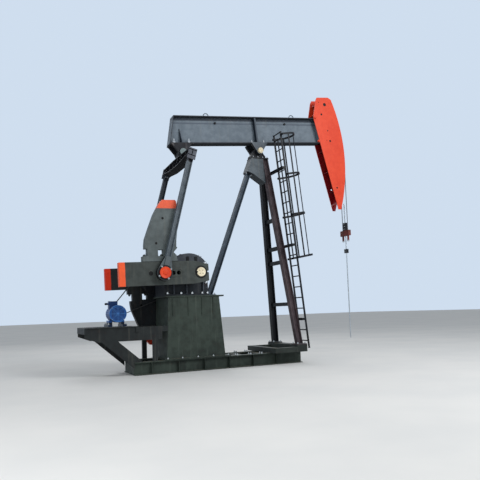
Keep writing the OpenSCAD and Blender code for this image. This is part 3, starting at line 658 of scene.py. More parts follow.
@dataclass(frozen=True)
class Mount:
    """A body, and how its own drawing stands at rest: an origin and a turn that lifts +X."""

    body: Body
    origin: Triple = (0.0, 0.0, 0.0)
    turn: float = 0.0

    def out(self, p: np.ndarray) -> np.ndarray:
        """Points turned and moved: x' = x cos - z sin, z' = x sin + z cos, plus the origin."""
        x, y, z = np.moveaxis(np.asarray(p, float), -1, 0)
        c, s = math.cos(self.turn), math.sin(self.turn)
        return np.stack([x * c - z * s, y, x * s + z * c], axis=-1) + np.array(self.origin)


ON_BASE = Mount(Body.BASE)
ON_CARRIER = Mount(Body.CARRIER)
ON_BEAM = Mount(Body.BEAM, SADDLE, BEAM_TILT)
ON_CRANK = Mount(Body.CRANK, SHAFT, CRANK_DIP)
ON_PITMAN = Mount(Body.PITMAN, HANG, PITMAN_LEAN)
SIDES = (-1.0, 1.0)
CORNERS = np.radians([45.0, 135.0, 225.0, 315.0])


def basis(axis: np.ndarray) -> np.ndarray:
    """Three rows, the last along axis: a right-handed frame round it."""
    w = np.asarray(axis, float) / np.linalg.norm(axis)
    side = np.array([0.0, 0.0, 1.0]) if abs(w[2]) < 0.9 else np.array([1.0, 0.0, 0.0])
    u = np.cross(side, w)
    u = u / np.linalg.norm(u)
    return np.stack([u, np.cross(w, u), w])


def full_turn(steps: int) -> np.ndarray:
    """That many even angles round a circle, from 0."""
    return np.linspace(0.0, 2.0 * np.pi, steps, endpoint=False)


def lathe(profile: list[Pair], centre: Triple, axis: Triple, sides: int = 32) -> np.ndarray:
    """Surface of revolution.

    A point is centre + r (u cos a + v sin a) + h w, where r and h come from the profile, a runs
    round once, and u, v, w are the frame about the axis.

    Args:
        profile: (radius, height) pairs from the seat outwards.
        centre: where height 0 lies.
        axis: the way that height grows.
        sides: steps round.

    Returns:
        rows x sides x 3 points.
    """
    rows = basis(np.array(axis))
    r, h = np.array(profile, float).T
    a = full_turn(sides)
    ring = np.cos(a)[:, None] * rows[0] + np.sin(a)[:, None] * rows[1]
    return np.array(centre) + r[:, None, None] * ring + h[:, None, None] * rows[2]


def sweep(path: np.ndarray, section: np.ndarray, up: Triple) -> np.ndarray:
    """A section carried along a path.

    Each ring is path + a x + b y, where a is up crossed with the tangent, b is the tangent
    crossed with a, and x, y are the section's places, one set for all rings or one for each.

    Args:
        path: rows x 3 points.
        section: columns x 2, or rows x columns x 2.
        up: a direction never along the path.

    Returns:
        rows x columns x 3 points.
    """
    tangent = np.gradient(path, axis=0)
    tangent /= np.linalg.norm(tangent, axis=1)[:, None]
    a = np.cross(np.array(up, float), tangent)
    a /= np.linalg.norm(a, axis=1)[:, None]
    b = np.cross(tangent, a)
    if section.ndim == 2:
        section = np.broadcast_to(section, (len(path),) + section.shape)
    return path[:, None] + a[:, None] * section[..., :1] + b[:, None] * section[..., 1:]


def circle(radius: float, sides: int) -> np.ndarray:
    """Columns x 2 places round a circle."""
    a = full_turn(sides)
    return radius * np.stack([np.cos(a), np.sin(a)], axis=-1)


def weld(start: Triple, end: Triple, size: float) -> np.ndarray:
    """A straight weld bead: a round bar whose radius swells by a sixth at each 14 mm ripple."""
    ripple, swelling, most_rings = 0.014, 0.16, 260
    start, end = np.array(start), np.array(end)
    length = float(np.linalg.norm(end - start))
    t = np.linspace(0.0, 1.0, max(8, min(most_rings, int(length / (0.5 * ripple)))))
    path = start + t[:, None] * (end - start)
    swell = size * (1.0 + swelling * np.sin(2.0 * np.pi * t * length / ripple))
    up = (0.0, 1.0, 0.0) if abs((end - start)[1]) < 0.9 * length else (1.0, 0.0, 0.0)
    return sweep(path, swell[:, None, None] * circle(1.0, 8), up)


def rope(path: np.ndarray, radius: float, lay: float = 0.17, strands: int = 6) -> np.ndarray:
    """A laid rope along a path in an X-Z plane.

    The radius at angle a and length s is radius (0.84 + 0.16 |sin(strands/2 (a - 2 pi s / lay))|),
    so that the strands wind once round in each lay.
    """
    s = np.concatenate([[0.0], np.cumsum(np.linalg.norm(np.diff(path, axis=0), axis=1))])
    a = full_turn(24)
    turn = a[None] - 2.0 * np.pi * s[:, None] / lay
    r = radius * (0.84 + 0.16 * np.abs(np.sin(strands / 2.0 * turn)))
    return sweep(path, np.stack([r * np.cos(a), r * np.sin(a)], axis=-1), ACROSS)


def prism(outline: list[Pair], y1: float, y2: float) -> tuple[np.ndarray, list]:
    """An X-Z outline carried from y1 up to y2, with both ends closed.

    Args:
        outline: (x, z) corners.
        y1: lower end.
        y2: upper end.

    Returns:
        The points and the faces.
    """
    flat = np.array(outline, float)
    area = np.sum(flat[:, 0] * np.roll(flat[:, 1], -1) - np.roll(flat[:, 0], -1) * flat[:, 1])
    if area < 0:
        flat = flat[::-1]
    n = len(flat)
    low = np.stack([flat[:, 0], np.full(n, y1), flat[:, 1]], axis=-1)
    high = low + np.array([0.0, y2 - y1, 0.0])
    k = np.arange(n)
    sides = np.stack([k, k + n, np.roll(k, -1) + n, np.roll(k, -1)], axis=-1).tolist()
    return np.concatenate([low, high]), sides + [k.tolist(), (k[::-1] + n).tolist()]


def rotated(corners: list[Pair], centre: Pair, angle: float) -> list[Pair]:
    """X-Z corners turned by an angle about the origin and moved to a centre."""
    c, s = math.cos(angle), math.sin(angle)
    return [(centre[0] + r * c - t * s, centre[1] + r * s + t * c) for r, t in corners]


def arc(centre: Pair, radius: float, angles: np.ndarray, y: float) -> np.ndarray:
    """Rows x 3 places at one Y round an X-Z centre, at angles from +X towards +Z."""
    x, z = centre[0] + radius * np.cos(angles), centre[1] + radius * np.sin(angles)
    return np.stack([x, np.full(len(angles), y), z], axis=-1)


def both(points: list[Triple]) -> list[Triple]:
    """The points and their mirror images across the middle plane."""
    return points + [(x, -y, z) for x, y, z in points]


class Shape:
    """Vertices and faces gathered for one piece."""

    def __init__(self, finish: Finish, mount: Mount) -> None:
        """Starts an empty piece drawn on that mount."""
        self.finish = finish
        self.mount = mount
        self.points: list[np.ndarray] = []
        self.faces: list[list[int]] = []
        self.count = 0

    def add(self, points: np.ndarray, faces: list) -> "Shape":
        """Appends drawn points and faces that number them from 0."""
        flat = self.mount.out(np.asarray(points, float).reshape(-1, 3))
        self.points.append(flat)
        self.faces.extend([[i + self.count for i in f] for f in faces])
        self.count += len(flat)
        return self

    def grid(self, points: np.ndarray, ends: bool = True) -> "Shape":
        """Adds rings as a closed tube.

        Args:
            points: rows x columns x 3, each row a ring that closes on itself.
            ends: whether the first and last rings are closed by flat faces.

        Returns:
            This shape.
        """
        rows, columns = points.shape[:2]
        a = np.arange(rows * columns).reshape(rows, columns)
        b = np.roll(a, -1, axis=1)
        quads = np.stack([a[:-1], b[:-1], b[1:], a[1:]], axis=-1).reshape(-1, 4).tolist()
        if ends:
            quads.append(a[0, ::-1].tolist())
            quads.append(a[-1].tolist())
        return self.add(points, quads)

    def turned(
        self, profile: list[Pair], centre: Triple, axis: Triple, sides: int = 32, ends: bool = True
    ) -> "Shape":
        """Adds one lathed part."""
        return self.grid(lathe(profile, centre, axis, sides), ends)

    def discs(
        self, profile: list[Pair], centre: Triple, sides: int = 32, ends: bool = True
    ) -> "Shape":
        """Adds a lathed part that faces outwards at a place, and its mirror image."""
        x, y, z = centre
        for side in SIDES:
            self.turned(profile, (x, side * y, z), (0, side, 0), sides, ends)
        return self

    def plate(self, outline: list[Pair], y1: float, y2: float) -> "Shape":
        """Adds an X-Z outline carried from one Y to the other, lower or upper first."""
        return self.add(*prism(outline, min(y1, y2), max(y1, y2)))

    def slab(self, outline: list[Pair], x1: float, x2: float) -> "Shape":
        """Adds a Y-Z outline carried from x1 to x2."""
        points, faces = prism(outline, x1, x2)
        return self.add(points[:, [1, 0, 2]], [face[::-1] for face in faces])

    def block(self, low: Triple, high: Triple) -> "Shape":
        """Adds a block between two corners."""
        (x1, y1, z1), (x2, y2, z2) = low, high
        return self.plate([(x1, z1), (x2, z1), (x2, z2), (x1, z2)], y1, y2)

    def blocks(self, low: Triple, high: Triple) -> "Shape":
        """Adds a block on the far side, and its mirror image on the near side."""
        for side in SIDES:
            self.block((low[0], side * low[1], low[2]), (high[0], side * high[1], high[2]))
        return self

    def beads(self, start: Triple, end: Triple, size: float = 0.008) -> "Shape":
        """Adds a weld bead on the far side, and its mirror image on the near side."""
        for side in SIDES:
            low = (start[0], side * start[1], start[2])
            self.grid(weld(low, (end[0], side * end[1], end[2]), size))
        return self

    def bolts(
        self, places: list[Triple] | np.ndarray, axis: Triple, size: float, stud: float = 0.6
    ) -> "Shape":
        """Adds hexagon nuts with washers and a stud's end.

        The washer is a disc 1.35 sizes in radius, the nut six-sided with a chamfered crown, and
        the stud stands out by its own share of the size.

        Args:
            places: where the washers' undersides lie.
            axis: the way the nuts point.
            size: half the nut's width across corners.
            stud: how far the stud stands out, in sizes.

        Returns:
            This shape.
        """
        seat, top, end = 0.22 * size, 1.5 * size, (1.5 + stud) * size
        for place in places:
            self.turned([(1.35 * size, 0.0), (1.35 * size, seat)], place, axis, 14)
            nut = [(size, seat), (size, top - 0.15 * size), (0.84 * size, top)]
            self.turned(nut, place, axis, 6)
            if stud > 0:
                width, tip = 0.52 * size, end - 0.1 * size
                shank = [(width, top - 0.01), (width, tip), (0.44 * size, end)]
                self.turned(shank, place, axis, 10)
        return self

    def side_bolts(self, places: np.ndarray, size: float, stud: float = 0.6) -> "Shape":
        """Adds bolts at far-side places that point outwards, and their mirror images."""
        for side in SIDES:
            self.bolts([(x, side * y, z) for x, y, z in places], (0, side, 0), size, stud)
        return self

    def loose(self, name: str, paint: str, smooth: bool = True) -> bpy.types.Object:
        """Makes and dresses the object, which rides on nothing yet.

        Args:
            name: the piece's name.
            paint: the name of its finish.
            smooth: whether its faces are shaded smooth.

        Returns:
            The object.
        """
        mesh = bpy.data.meshes.new(name)
        mesh.from_pydata(np.concatenate(self.points).tolist(), [], self.faces)
        if smooth:
            mesh.polygons.foreach_set("use_smooth", np.ones(len(mesh.polygons), bool))
        mesh.update()
        made = bpy.data.objects.new(name, mesh)
        bpy.context.scene.collection.objects.link(made)
        return self.finish.dress(made, paint)

    def piece(self, name: str, paint: str, smooth: bool = False) -> bpy.types.Object:
        """Makes the object and lets it ride on the mount's body.

        Args:
            name: the piece's name.
            paint: the name of its finish.
            smooth: whether its faces are shaded smooth.

        Returns:
            The object.
        """
        made = self.loose(name, paint, smooth)
        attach(made, self.mount.body.value)
        LOG.info("%s: %d faces on %s", name, len(self.faces), self.mount.body.value)
        return made


# ---------------------------------------------------------------- sub-assemblies


class Part:
    """A sub-assembly: the paints of its nodes, and the small pieces that it builds."""

    mount: Mount = ON_BASE
    nodes: dict[str, str] = {}

    def __init__(self, finish: Finish) -> None:
        """Keeps the finishes and dresses the part's nodes."""
        self.finish = finish
        for node, paint in self.nodes.items():
            finish.dress(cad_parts[node], paint)

    def shape(self, mount: Mount | None = None) -> Shape:
        """An empty shape on this part's mount or another."""
        return Shape(self.finish, mount or self.mount)

    def build(self) -> None:
        """Builds the part's pieces."""
        raise NotImplementedError


class Skid(Part):
    """The runners, cross beams and post base."""

    runner_y = 0.52
    runner_top = 0.345
    web_y = 0.529
    feet = (3.148, 0.76, 0.58)
    nodes = {
        "base_runner_near": "pedestal_paint",
        "base_runner_far": "pedestal_paint",
        "base_cross_beams": "pedestal_paint",
        "post_base": "frame_paint",
    }

    def nuts(self) -> None:
        """Nuts that hold the post base to the runners, and the legs' feet."""
        shape = self.shape()
        clamps = [
            (x, -self.runner_y - dy, self.runner_top)
            for x in (1.2, 1.62, 1.98) for dy in (-0.07, 0.07)
        ]
        shape.bolts(both(clamps), UP, 0.024)
        x, y, z = self.feet
        feet = [(x + dx, dy - y, z) for dx in (-0.125, 0.125) for dy in (-0.14, 0.14)]
        shape.bolts(both(feet), UP, 0.022)
        shape.piece("skid_nuts", "bolt_steel")

    def stiffeners(self) -> None:
        """Plates between the runners' flanges, with a bead beside each."""
        beads, plates = self.shape(), self.shape()
        for x in np.arange(-1.3, 3.2, 0.75):
            beads.beads((x + 0.008, self.web_y, 0.03), (x + 0.008, self.web_y, 0.315), 0.006)
            plates.blocks((x - 0.006, self.web_y, 0.025), (x + 0.006, self.runner_y + 0.1, 0.32))
        beads.piece("skid_welds", "pedestal_paint", True)
        plates.piece("skid_stiffeners", "pedestal_paint")

    def build(self) -> None:
        """Builds the skid's pieces."""
        self.nuts()
        self.stiffeners()


class Pedestal(Part):
    """The gearbox pedestal."""

    half = 0.6
    top = 2.08
    nodes = {"gearbox_pedestal": "pedestal_paint"}

    def seams(self) -> None:
        """Beads where the side sheets meet the foot, the top plate and the ribs."""
        shape = self.shape()
        y = self.half + 0.003
        shape.beads((-0.85, y, 0.379), (0.81, y, 0.379))
        shape.beads((-0.8, y, 2.037), (0.67, y, 2.037))
        for x in (-0.704, -0.254, 0.146, 0.476):
            shape.beads((x, y, 1.54), (x, y, 2.03), 0.005)
        shape.piece("pedestal_welds", "pedestal_paint", True)

    def nuts(self) -> None:
        """Foundation nuts of the pedestal and of the rear leg's shoe."""
        shape = self.shape()
        foot = [(x, -self.half - 0.03, 0.375) for x in (-0.86, -0.45, 0.0, 0.45, 0.9)]
        shape.bolts(both(foot), UP, 0.02)
        shape.bolts(both([(x, -0.14, self.top + 0.03) for x in (0.49, 0.73)]), UP, 0.024)
        shape.piece("pedestal_nuts", "bolt_steel")

    def build(self) -> None:
        """Builds the pedestal's pieces."""
        self.seams()
        self.nuts()


class Reducer(Part):
    """The gear reducer, its cover, the sheaves, the belts and the brake."""

    half = 0.48
    foot_z = 2.125
    split_z = 2.734
    sheave = (-0.682, 2.622)
    band_radius = 0.236
    nodes = {
        "reducer_housing": "housing_shade_paint",
        "reducer_cover": "reducer_paint",
        "large_sheave": "black_paint",
        "brake_drum": "black_paint",
        "drive_belts": "belt_rubber",
    }

    def nuts(self) -> None:
        """Foot nuts and the row along the split flange."""
        shape = self.shape()
        foot = [(x, -self.half - 0.05, self.foot_z) for x in (-0.8, -0.41, -0.09, 0.21, 0.365)]
        shape.bolts(both(foot), UP, 0.03)
        row = [(x, -self.half - 0.02, self.split_z) for x in np.linspace(-0.83, 0.36, 11)]
        shape.bolts(both(row), UP, 0.014, 0.3)
        shape.piece("reducer_nuts", "bolt_steel")

    def ribs(self) -> None:
        """Upright ribs on the housing's sides."""
        shape = self.shape()
        for x in (-0.62, -0.25, 0.24):
            shape.blocks((x - 0.012, self.half, self.foot_z), (x + 0.012, self.half + 0.075, 2.66))
        shape.piece("reducer_ribs", "reducer_paint")

    def bearing_rings(self) -> None:
        """Bearing covers of the two shafts: stepped rings with eight screws each."""
        rings, screws = self.shape(), self.shape()
        crank_end = (SHAFT[0], SHAFT[2], 0.115, 0.235, 0.09)
        sheave_end = (*self.sheave, 0.06, 0.13, 0.05)
        for x, z, inner, outer, depth in (crank_end, sheave_end):
            profile = [
                (inner, 0.0), (outer, 0.0), (outer, depth * 0.7), (outer * 0.93, depth),
                (inner * 1.2, depth), (inner, depth * 0.9), (inner, 0.0),
            ]
            rings.discs(profile, (x, self.half, z), 40, False)
            spots = arc((x, z), (outer + inner) * 0.53, full_turn(8) + 0.39, self.half + depth)
            screws.side_bolts(spots, 0.011, 0.0)
        rings.piece("reducer_bearing_rings", "reducer_paint")
        screws.piece("reducer_bearing_screws", "bolt_steel")

    def cover_fittings(self) -> None:
        """Lifting ears, the breather, near-black blocks on the cover's sides painted as the shade
        of its pockets, and its top nuts.
        """
        fittings, lugs, nuts = self.shape(), self.shape(), self.shape()
        ear = [(-0.06, -0.05), (0.06, -0.09), (0.045, 0.05), (-0.045, 0.07)]
        for y in (-0.3, 0.3):
            for place in ((-0.62, 3.13), (0.2, 3.1)):
                fittings.plate(rotated(ear, place, 0.0), y - 0.012, y + 0.012)
        breather = [(0.022, -0.03), (0.022, 0.015), (0.034, 0.018), (0.034, 0.04), (0.02, 0.05)]
        fittings.turned(breather, (-0.2, 0.12, 3.262), UP, 20)
        fittings.piece("reducer_fittings", "reducer_paint")
        # Painted shade: near-black blocks where the pockets on the cover's sides lie in shade.
        for x in (-0.185, 0.055):
            lugs.blocks((x - 0.032, self.half - 0.002, 3.045), (x + 0.032, self.half + 0.03, 3.175))
        lugs.piece("cover_pocket_shades", "near_black_and_shade")
        spots = [(0.147, -0.44, 3.192), (0.215, -0.44, 3.158)]
        nuts.bolts(both(spots), (0.35, 0, 0.94), 0.02)
        nuts.piece("cover_nuts", "bolt_steel")

    def sheave_spokes(self) -> None:
        """Six tapered spokes on both faces of the large sheave's web."""
        shape = self.shape()
        spoke = [(0.13, 0.06), (0.5, 0.038), (0.5, -0.038), (0.13, -0.06)]
        for degrees in range(18, 378, 60):
            outline = rotated(spoke, self.sheave, math.radians(degrees))
            shape.plate(outline, 0.735, 0.758).plate(outline, 0.682, 0.705)
        shape.piece("sheave_spokes", "black_paint")

    def brake(self) -> None:
        """The brake band round the drum: a strap with a gap, and its two lugs."""
        shape = self.shape()
        path = arc(self.sheave, self.band_radius, np.radians(np.linspace(20, 340, 60)), -0.7)
        strap = np.array([(-0.004, -0.032), (-0.004, 0.032), (0.004, 0.032), (0.004, -0.032)])
        shape.grid(sweep(path, strap, ACROSS))
        for side in SIDES:
            z = self.sheave[1] + side * 0.085
            shape.block((-0.462, -0.72, z - 0.008), (-0.4, -0.68, z + 0.008))
        shape.piece("brake_band", "frame_paint")

    def build(self) -> None:
        """Builds the pieces of the reducer and drive."""
        self.nuts()
        self.ribs()
        self.bearing_rings()
        self.cover_fittings()
        self.sheave_spokes()
        self.brake()


class Motor(Part):
    """The motor with its fan grille and fixings, and its platform's deck and side sheets."""

    front = -0.05
    radius = 0.235
    rail_top = 1.35
    deck_top = 1.29
    nodes = {
        "motor_body": "motor_paint",
        "motor_fan_cover": "motor_paint",
        "motor_sheave": "black_paint",
        "motor_platform": "platform_shade_paint",
    }

    def webs(self) -> None:
        """Side sheets under the platform's arms and wide flats beside its struts."""
        shape = self.shape()
        sheet = [(-3.03, 1.135), (-3.03, 1.04), (-2.7, 0.915), (-1.0, 0.915), (-1.0, 1.135)]
        strut = [(-2.608, 0.915), (-2.185, 0.915), (-1.526, 0.347), (-1.762, 0.347)]
        strut += [(-1.762, 0.175)]
        for side in SIDES:
            for outline in (sheet, strut):
                shape.plate(outline, side * 0.604, side * 0.612)
        shape.piece("platform_webs", "platform_shade_paint")

    def grille(self) -> None:
        """The fan grille: four rings, eight radial bars, a hub and the cover's rim."""
        shape = self.shape()
        x, _, z = MOTOR
        face, ahead = (x, self.front, z), (0, -1, 0)
        for r in (0.06, 0.1, 0.14, 0.18):
            low, high = r - 0.005, r + 0.005
            ring = [(low, 0.0), (high, 0.0), (high, 0.008), (low, 0.008), (low, 0.0)]
            shape.turned(ring, face, ahead, 48, False)
        bar = [(0.03, 0.006), (0.21, 0.006), (0.21, -0.006), (0.03, -0.006)]
        for angle in full_turn(8):
            shape.plate(rotated(bar, (x, z), angle), self.front - 0.01, self.front)
        shape.turned([(0.035, 0.0), (0.035, 0.012), (0.02, 0.02)], face, ahead, 24)
        outer = self.radius
        rim = [
            (outer - 0.02, 0.0), (outer, 0.0), (outer, 0.004), (outer - 0.012, 0.016),
            (outer - 0.02, 0.012), (outer - 0.02, 0.0),
        ]
        shape.turned(rim, face, ahead, 64, False)
        shape.piece("motor_grille", "grille_paint")

    def fixings(self) -> None:
        """Nuts on the slide rails, cover screws and the lid screws of the terminal box."""
        shape = self.shape()
        x, _, z = MOTOR
        for ends, size in (((0.09, 0.55), 0.02), ((0.04, 0.6), 0.017)):
            spots = [(x + dx, y, self.rail_top) for dx in (-0.235, 0.235) for y in ends]
            shape.bolts(spots, UP, size)
        shape.bolts(arc((x, z), 0.222, CORNERS, self.front - 0.012), (0, -1, 0), 0.008, 0.0)
        lid = [(x + dx, y, 1.985) for dx in (-0.18, 0.01) for y in (0.16, 0.31)]
        shape.bolts(lid, UP, 0.009, 0.0)
        shape.piece("motor_nuts", "bolt_steel")

    def gland(self) -> None:
        """The terminal box's empty gland: a hexagon and a ring."""
        shape = self.shape()
        seat, rearward = (MOTOR[0] - 0.25, 0.235, 1.915), (-1, 0, 0)
        shape.turned([(0.036, 0.0), (0.036, 0.022)], seat, rearward, 6)
        shape.turned([(0.028, 0.0), (0.028, 0.045), (0.02, 0.052)], seat, rearward, 20)
        shape.piece("motor_gland", "black_paint")

    def deck(self) -> None:
        """Raised tread bars across the platform's deck."""
        shape = self.shape()
        low, high = self.deck_top, self.deck_top + 0.006
        for x in np.arange(-2.98, -2.36, 0.06):
            shape.block((x - 0.006, -0.6, low), (x + 0.006, 0.6, high))
        shape.piece("platform_tread", "platform_shade_paint")

    def build(self) -> None:
        """Builds the pieces of the motor and its platform."""
        self.webs()
        self.grille()
        self.fixings()
        self.gland()
        self.deck()


class Post(Part):
    """The post's legs, braces, head box and saddle bearing."""

    plate_top = 6.34
    nodes = {
        "post_leg_near": "worn_leg_paint",
        # Painted shade: the far leg is given black paint for the shade it stands in.
        "post_leg_far": "black_paint",
        "post_leg_rear": "post_paint",
        "post_braces": "black_paint",
        "post_top": "head_box_paint",
        "saddle_bearing": "black_paint",
    }

    def nuts(self) -> None:
        """Nuts of the head plate and of the rear leg's flange, seen from below."""
        shape = self.shape()
        plate = [(x, -0.1755, self.plate_top) for x in (2.14, 2.3, 2.46, 2.62)]
        shape.bolts(both(plate), UP, 0.0185)
        way = np.array(LEG_WAY)
        level = np.array([way[2], 0.0, -way[0]])
        middle = np.array(LEG_TOP) - way * 0.0262
        gauge = (-0.088, 0.088)
        spots = [middle + u * level + v * np.array(ACROSS) for u in gauge for v in gauge]
        shape.bolts(spots, -way, 0.018)
        shape.piece("post_nuts", "bolt_steel")

    def welds(self) -> None:
        """Beads under the head plate and round the legs' shoes."""
        shape = self.shape()
        shape.beads((2.12, 0.193, 6.297), (2.44, 0.193, 6.297), 0.007)
        for y in (0.672, 0.848):
            shape.beads((3.06, y, 0.583), (3.23, y, 0.583), 0.007)
        shape.piece("post_welds", "post_paint", True)

    def build(self) -> None:
        """Builds the post's pieces."""
        self.nuts()
        self.welds()


class Ladder(Part):
    """The ladder and its cage's clips."""

    y = 0.76
    half = 0.215
    low = (3.36447, 0.44)
    lean = 0.103970
    nodes = {"ladder": "black_paint", "ladder_cage": "black_paint"}

    def build(self) -> None:
        """Small nuts where the hoops are held to the rails, at the hoops' heights."""
        shape = self.shape()
        stretch = math.sqrt(1.0 + self.lean**2)
        ahead, nut_y = 0.012 / stretch, self.half + 0.05
        for height in (3.13, 4.42, 5.635, 6.85):
            rise = height - self.low[1]
            x = self.low[0] + ahead - rise * self.lean
            z = height + ahead * self.lean
            spots = [(x, side * nut_y - self.y, z) for side in SIDES]
            shape.bolts(spots, (1, 0, 0), 0.011, 0.4)
        shape.piece("ladder_clips", "bolt_steel")


class WalkingBeam(Part):
    """The beam with its bearings' brackets."""

    mount = ON_BEAM
    tail = -2.63
    tail_rake = 0.2476
    nose = 2.33
    seat = 0.27
    top = 1.11
    half = 0.16
    web = 0.011
    flange = 0.028
    tail_arm = 2.505
    nodes = {
        "walking_beam": "beam_paint",
        "saddle_lugs": "saddle_paint",
        "saddle_shaft": "cap_paint",
        "equalizer_lugs": "lug_paint",
    }

    def eye(self, x: float) -> np.ndarray:
        """A lifting eye: a bar swept up one leg, over a half circle, and down the other leg."""
        t = np.linspace(0.0, np.pi, 18)
        up = np.concatenate([[0.0], 0.06 + 0.075 * np.sin(t), [0.0]])
        along = np.concatenate([[-0.08], -0.08 * np.cos(t), [0.08]])
        path = np.stack([x + along, np.zeros(20), self.top - 0.012 + up], axis=-1)
        return sweep(path, circle(0.014, 10), ACROSS)

    def shell(self) -> None:
        """The beam itself: plates of the frame's sizes, thin stiffeners and bent lifting eyes."""
        shape = self.shape()
        seat, top, half, nose = self.seat, self.top, self.half, self.nose
        head = self.tail - 0.015
        heel = head - (top - seat) * self.tail_rake
        shape.block((heel + 0.01, -half, seat), (nose, half, seat + self.flange))
        shape.block((head + 0.004, -half, top - self.flange), (nose, half, top))
        web = [(heel + 0.01, seat + 0.01), (nose, seat + 0.01)]
        web += [(nose, top - 0.01), (head + 0.01, top - 0.01)]
        shape.plate(web, -self.web, self.web)
        end = [(heel, seat), (heel + 0.016, seat), (head + 0.016, top), (head, top)]
        shape.plate(end, -half, half)
        low, high = seat + 0.02, top - 0.02
        for side in SIDES:
            root, edge = side * 0.005, side * 0.15
            plate = [(root, low), (edge, low), (edge, high), (root, high)]
            gusset = [(root, low), (edge, low), (edge, low + 0.03), (root, low + 0.49)]
            shape.slab(plate, -0.006, 0.044)
            shape.slab(plate, nose - 0.03, nose - 0.01)
            shape.slab(gusset, 0.022 - self.tail_arm, 0.044 - self.tail_arm)
        shape.grid(self.eye(-1.56)).grid(self.eye(1.44))
        made = shape.piece("beam_plates", "beam_paint")
        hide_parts("walking_beam")

    def welds(self) -> None:
        """Beads in the four corners between web and flanges and up the stiffeners."""
        shape = self.shape()
        y = self.web + 0.003
        for w in (self.seat + 0.031, self.top - 0.031):
            start = self.tail - (self.top - w) * self.tail_rake
            shape.beads((start, y, w), (self.nose - 0.01, y, w), 0.009)
        for x in (-0.01, 0.048):
            shape.beads((x, y, self.seat + 0.04), (x, y, self.seat + 0.8), 0.006)
        shape.piece("beam_welds", "beam_paint", True)

    def nuts(self) -> None:
        """Nuts on the lower flange over the saddle, and long studs over the equalizer bearing."""
        shape = self.shape()
        z = self.seat + self.flange
        shape.bolts(both([(x, -0.125, z) for x in (-0.18, 0.235)]), UP, 0.031, 1.1)
        studs = [(x - self.tail_arm, -0.104, z) for x in (-0.202, 0.262)]
        shape.bolts(both(studs), UP, 0.04, 1.6)
        shape.piece("beam_nuts", "bolt_steel")

    def bosses(self) -> None:
        """Dark round bosses on the web, one ahead of the tail and one behind the head."""
        shape = self.shape()
        for x in (-1.3, 1.14):
            shape.discs([(0.034, 0.0), (0.034, 0.03), (0.024, 0.038)], (x, self.web, 0.93), 20)
        shape.piece("beam_bosses", "black_paint")

    def caps(self) -> None:
        """Domed saddle caps with a raised rim and four screws."""
        caps, screws = self.shape(), self.shape()
        rim = [(0.085, 0.0), (0.085, 0.01), (0.074, 0.016), (0.064, 0.011)]
        rim += [(0.03, 0.014), (0.005, 0.015)]
        caps.discs(rim, (0.0, 0.3202, 0.0), 48)
        screws.side_bolts(arc((0.0, 0.0), 0.052, CORNERS, 0.331), 0.008, 0.0)
        caps.piece("saddle_caps", "cap_paint")
        screws.piece("saddle_cap_screws", "bolt_steel")

    def build(self) -> None:
        """Builds the beam's pieces."""
        self.shell()
        self.welds()
        self.nuts()
        self.bosses()
        self.caps()


class Horsehead(Part):
    """The head's cheeks, its pins and its hand holes."""

    mount = ON_BEAM
    cheek = 0.178
    inner = 0.16
    track = 3.18
    holes = (
        (2.698, 1.57, 0.058), (2.521, 1.234, 0.036), (2.687, 0.682, 0.024), (2.727, 0.331, 0.036),
        (2.749, -1.254, 0.03), (2.472, 1.644, 0.014), (2.598, 0.352, 0.014),
    )
    nodes = {
        "head_cheek_near": "head_paint",
        "head_cheek_far": "head_paint",
        "head_track": "track_paint",
    }

    def pins(self) -> None:
        """The hinge pins at the beam's top corner and the lock bolts at its lower one."""
        shape = self.shape()
        pin = [(0.042, 0.0), (0.042, 0.014), (0.03, 0.016), (0.03, 0.036), (0.022, 0.042)]
        for x, w in ((2.26, 1.11), (2.27, 0.33)):
            shape.discs(pin, (x, self.cheek, w), 24)
        shape.piece("head_pins", "head_paint")

    def hole_shade_discs(self) -> None:
        """Near-black discs set inside the near cheek's hand holes: painted shade in the holes."""
        shape = self.shape()
        for x, w, radius in self.holes:
            r = radius - 0.0005
            shape.turned([(r, 0.004), (r, 0.012)], (x, -self.inner, w), (0, -1, 0))
        shape.piece("hand_hole_shade_discs", "near_black_and_shade")

    def beads(self) -> None:
        """Beads where the diaphragms meet the cheeks, from the head's rear edge to the track."""
        shape = self.shape()
        y = self.inner - 0.004
        for w in (-1.35, -0.7, 0.0, 1.24, 1.57):
            rear = 2.3 + (w - 1.176) * 0.31 if w > 1.1 else 2.39 - 0.1661 * w
            front = math.sqrt(self.track**2 - w * w)
            shape.beads((rear, y, w + 0.008), (front, y, w + 0.008), 0.006)
        shape.piece("head_beads", "head_paint", True)

    def build(self) -> None:
        """Builds the head's pieces."""
        self.pins()
        self.hole_shade_discs()
        self.beads()


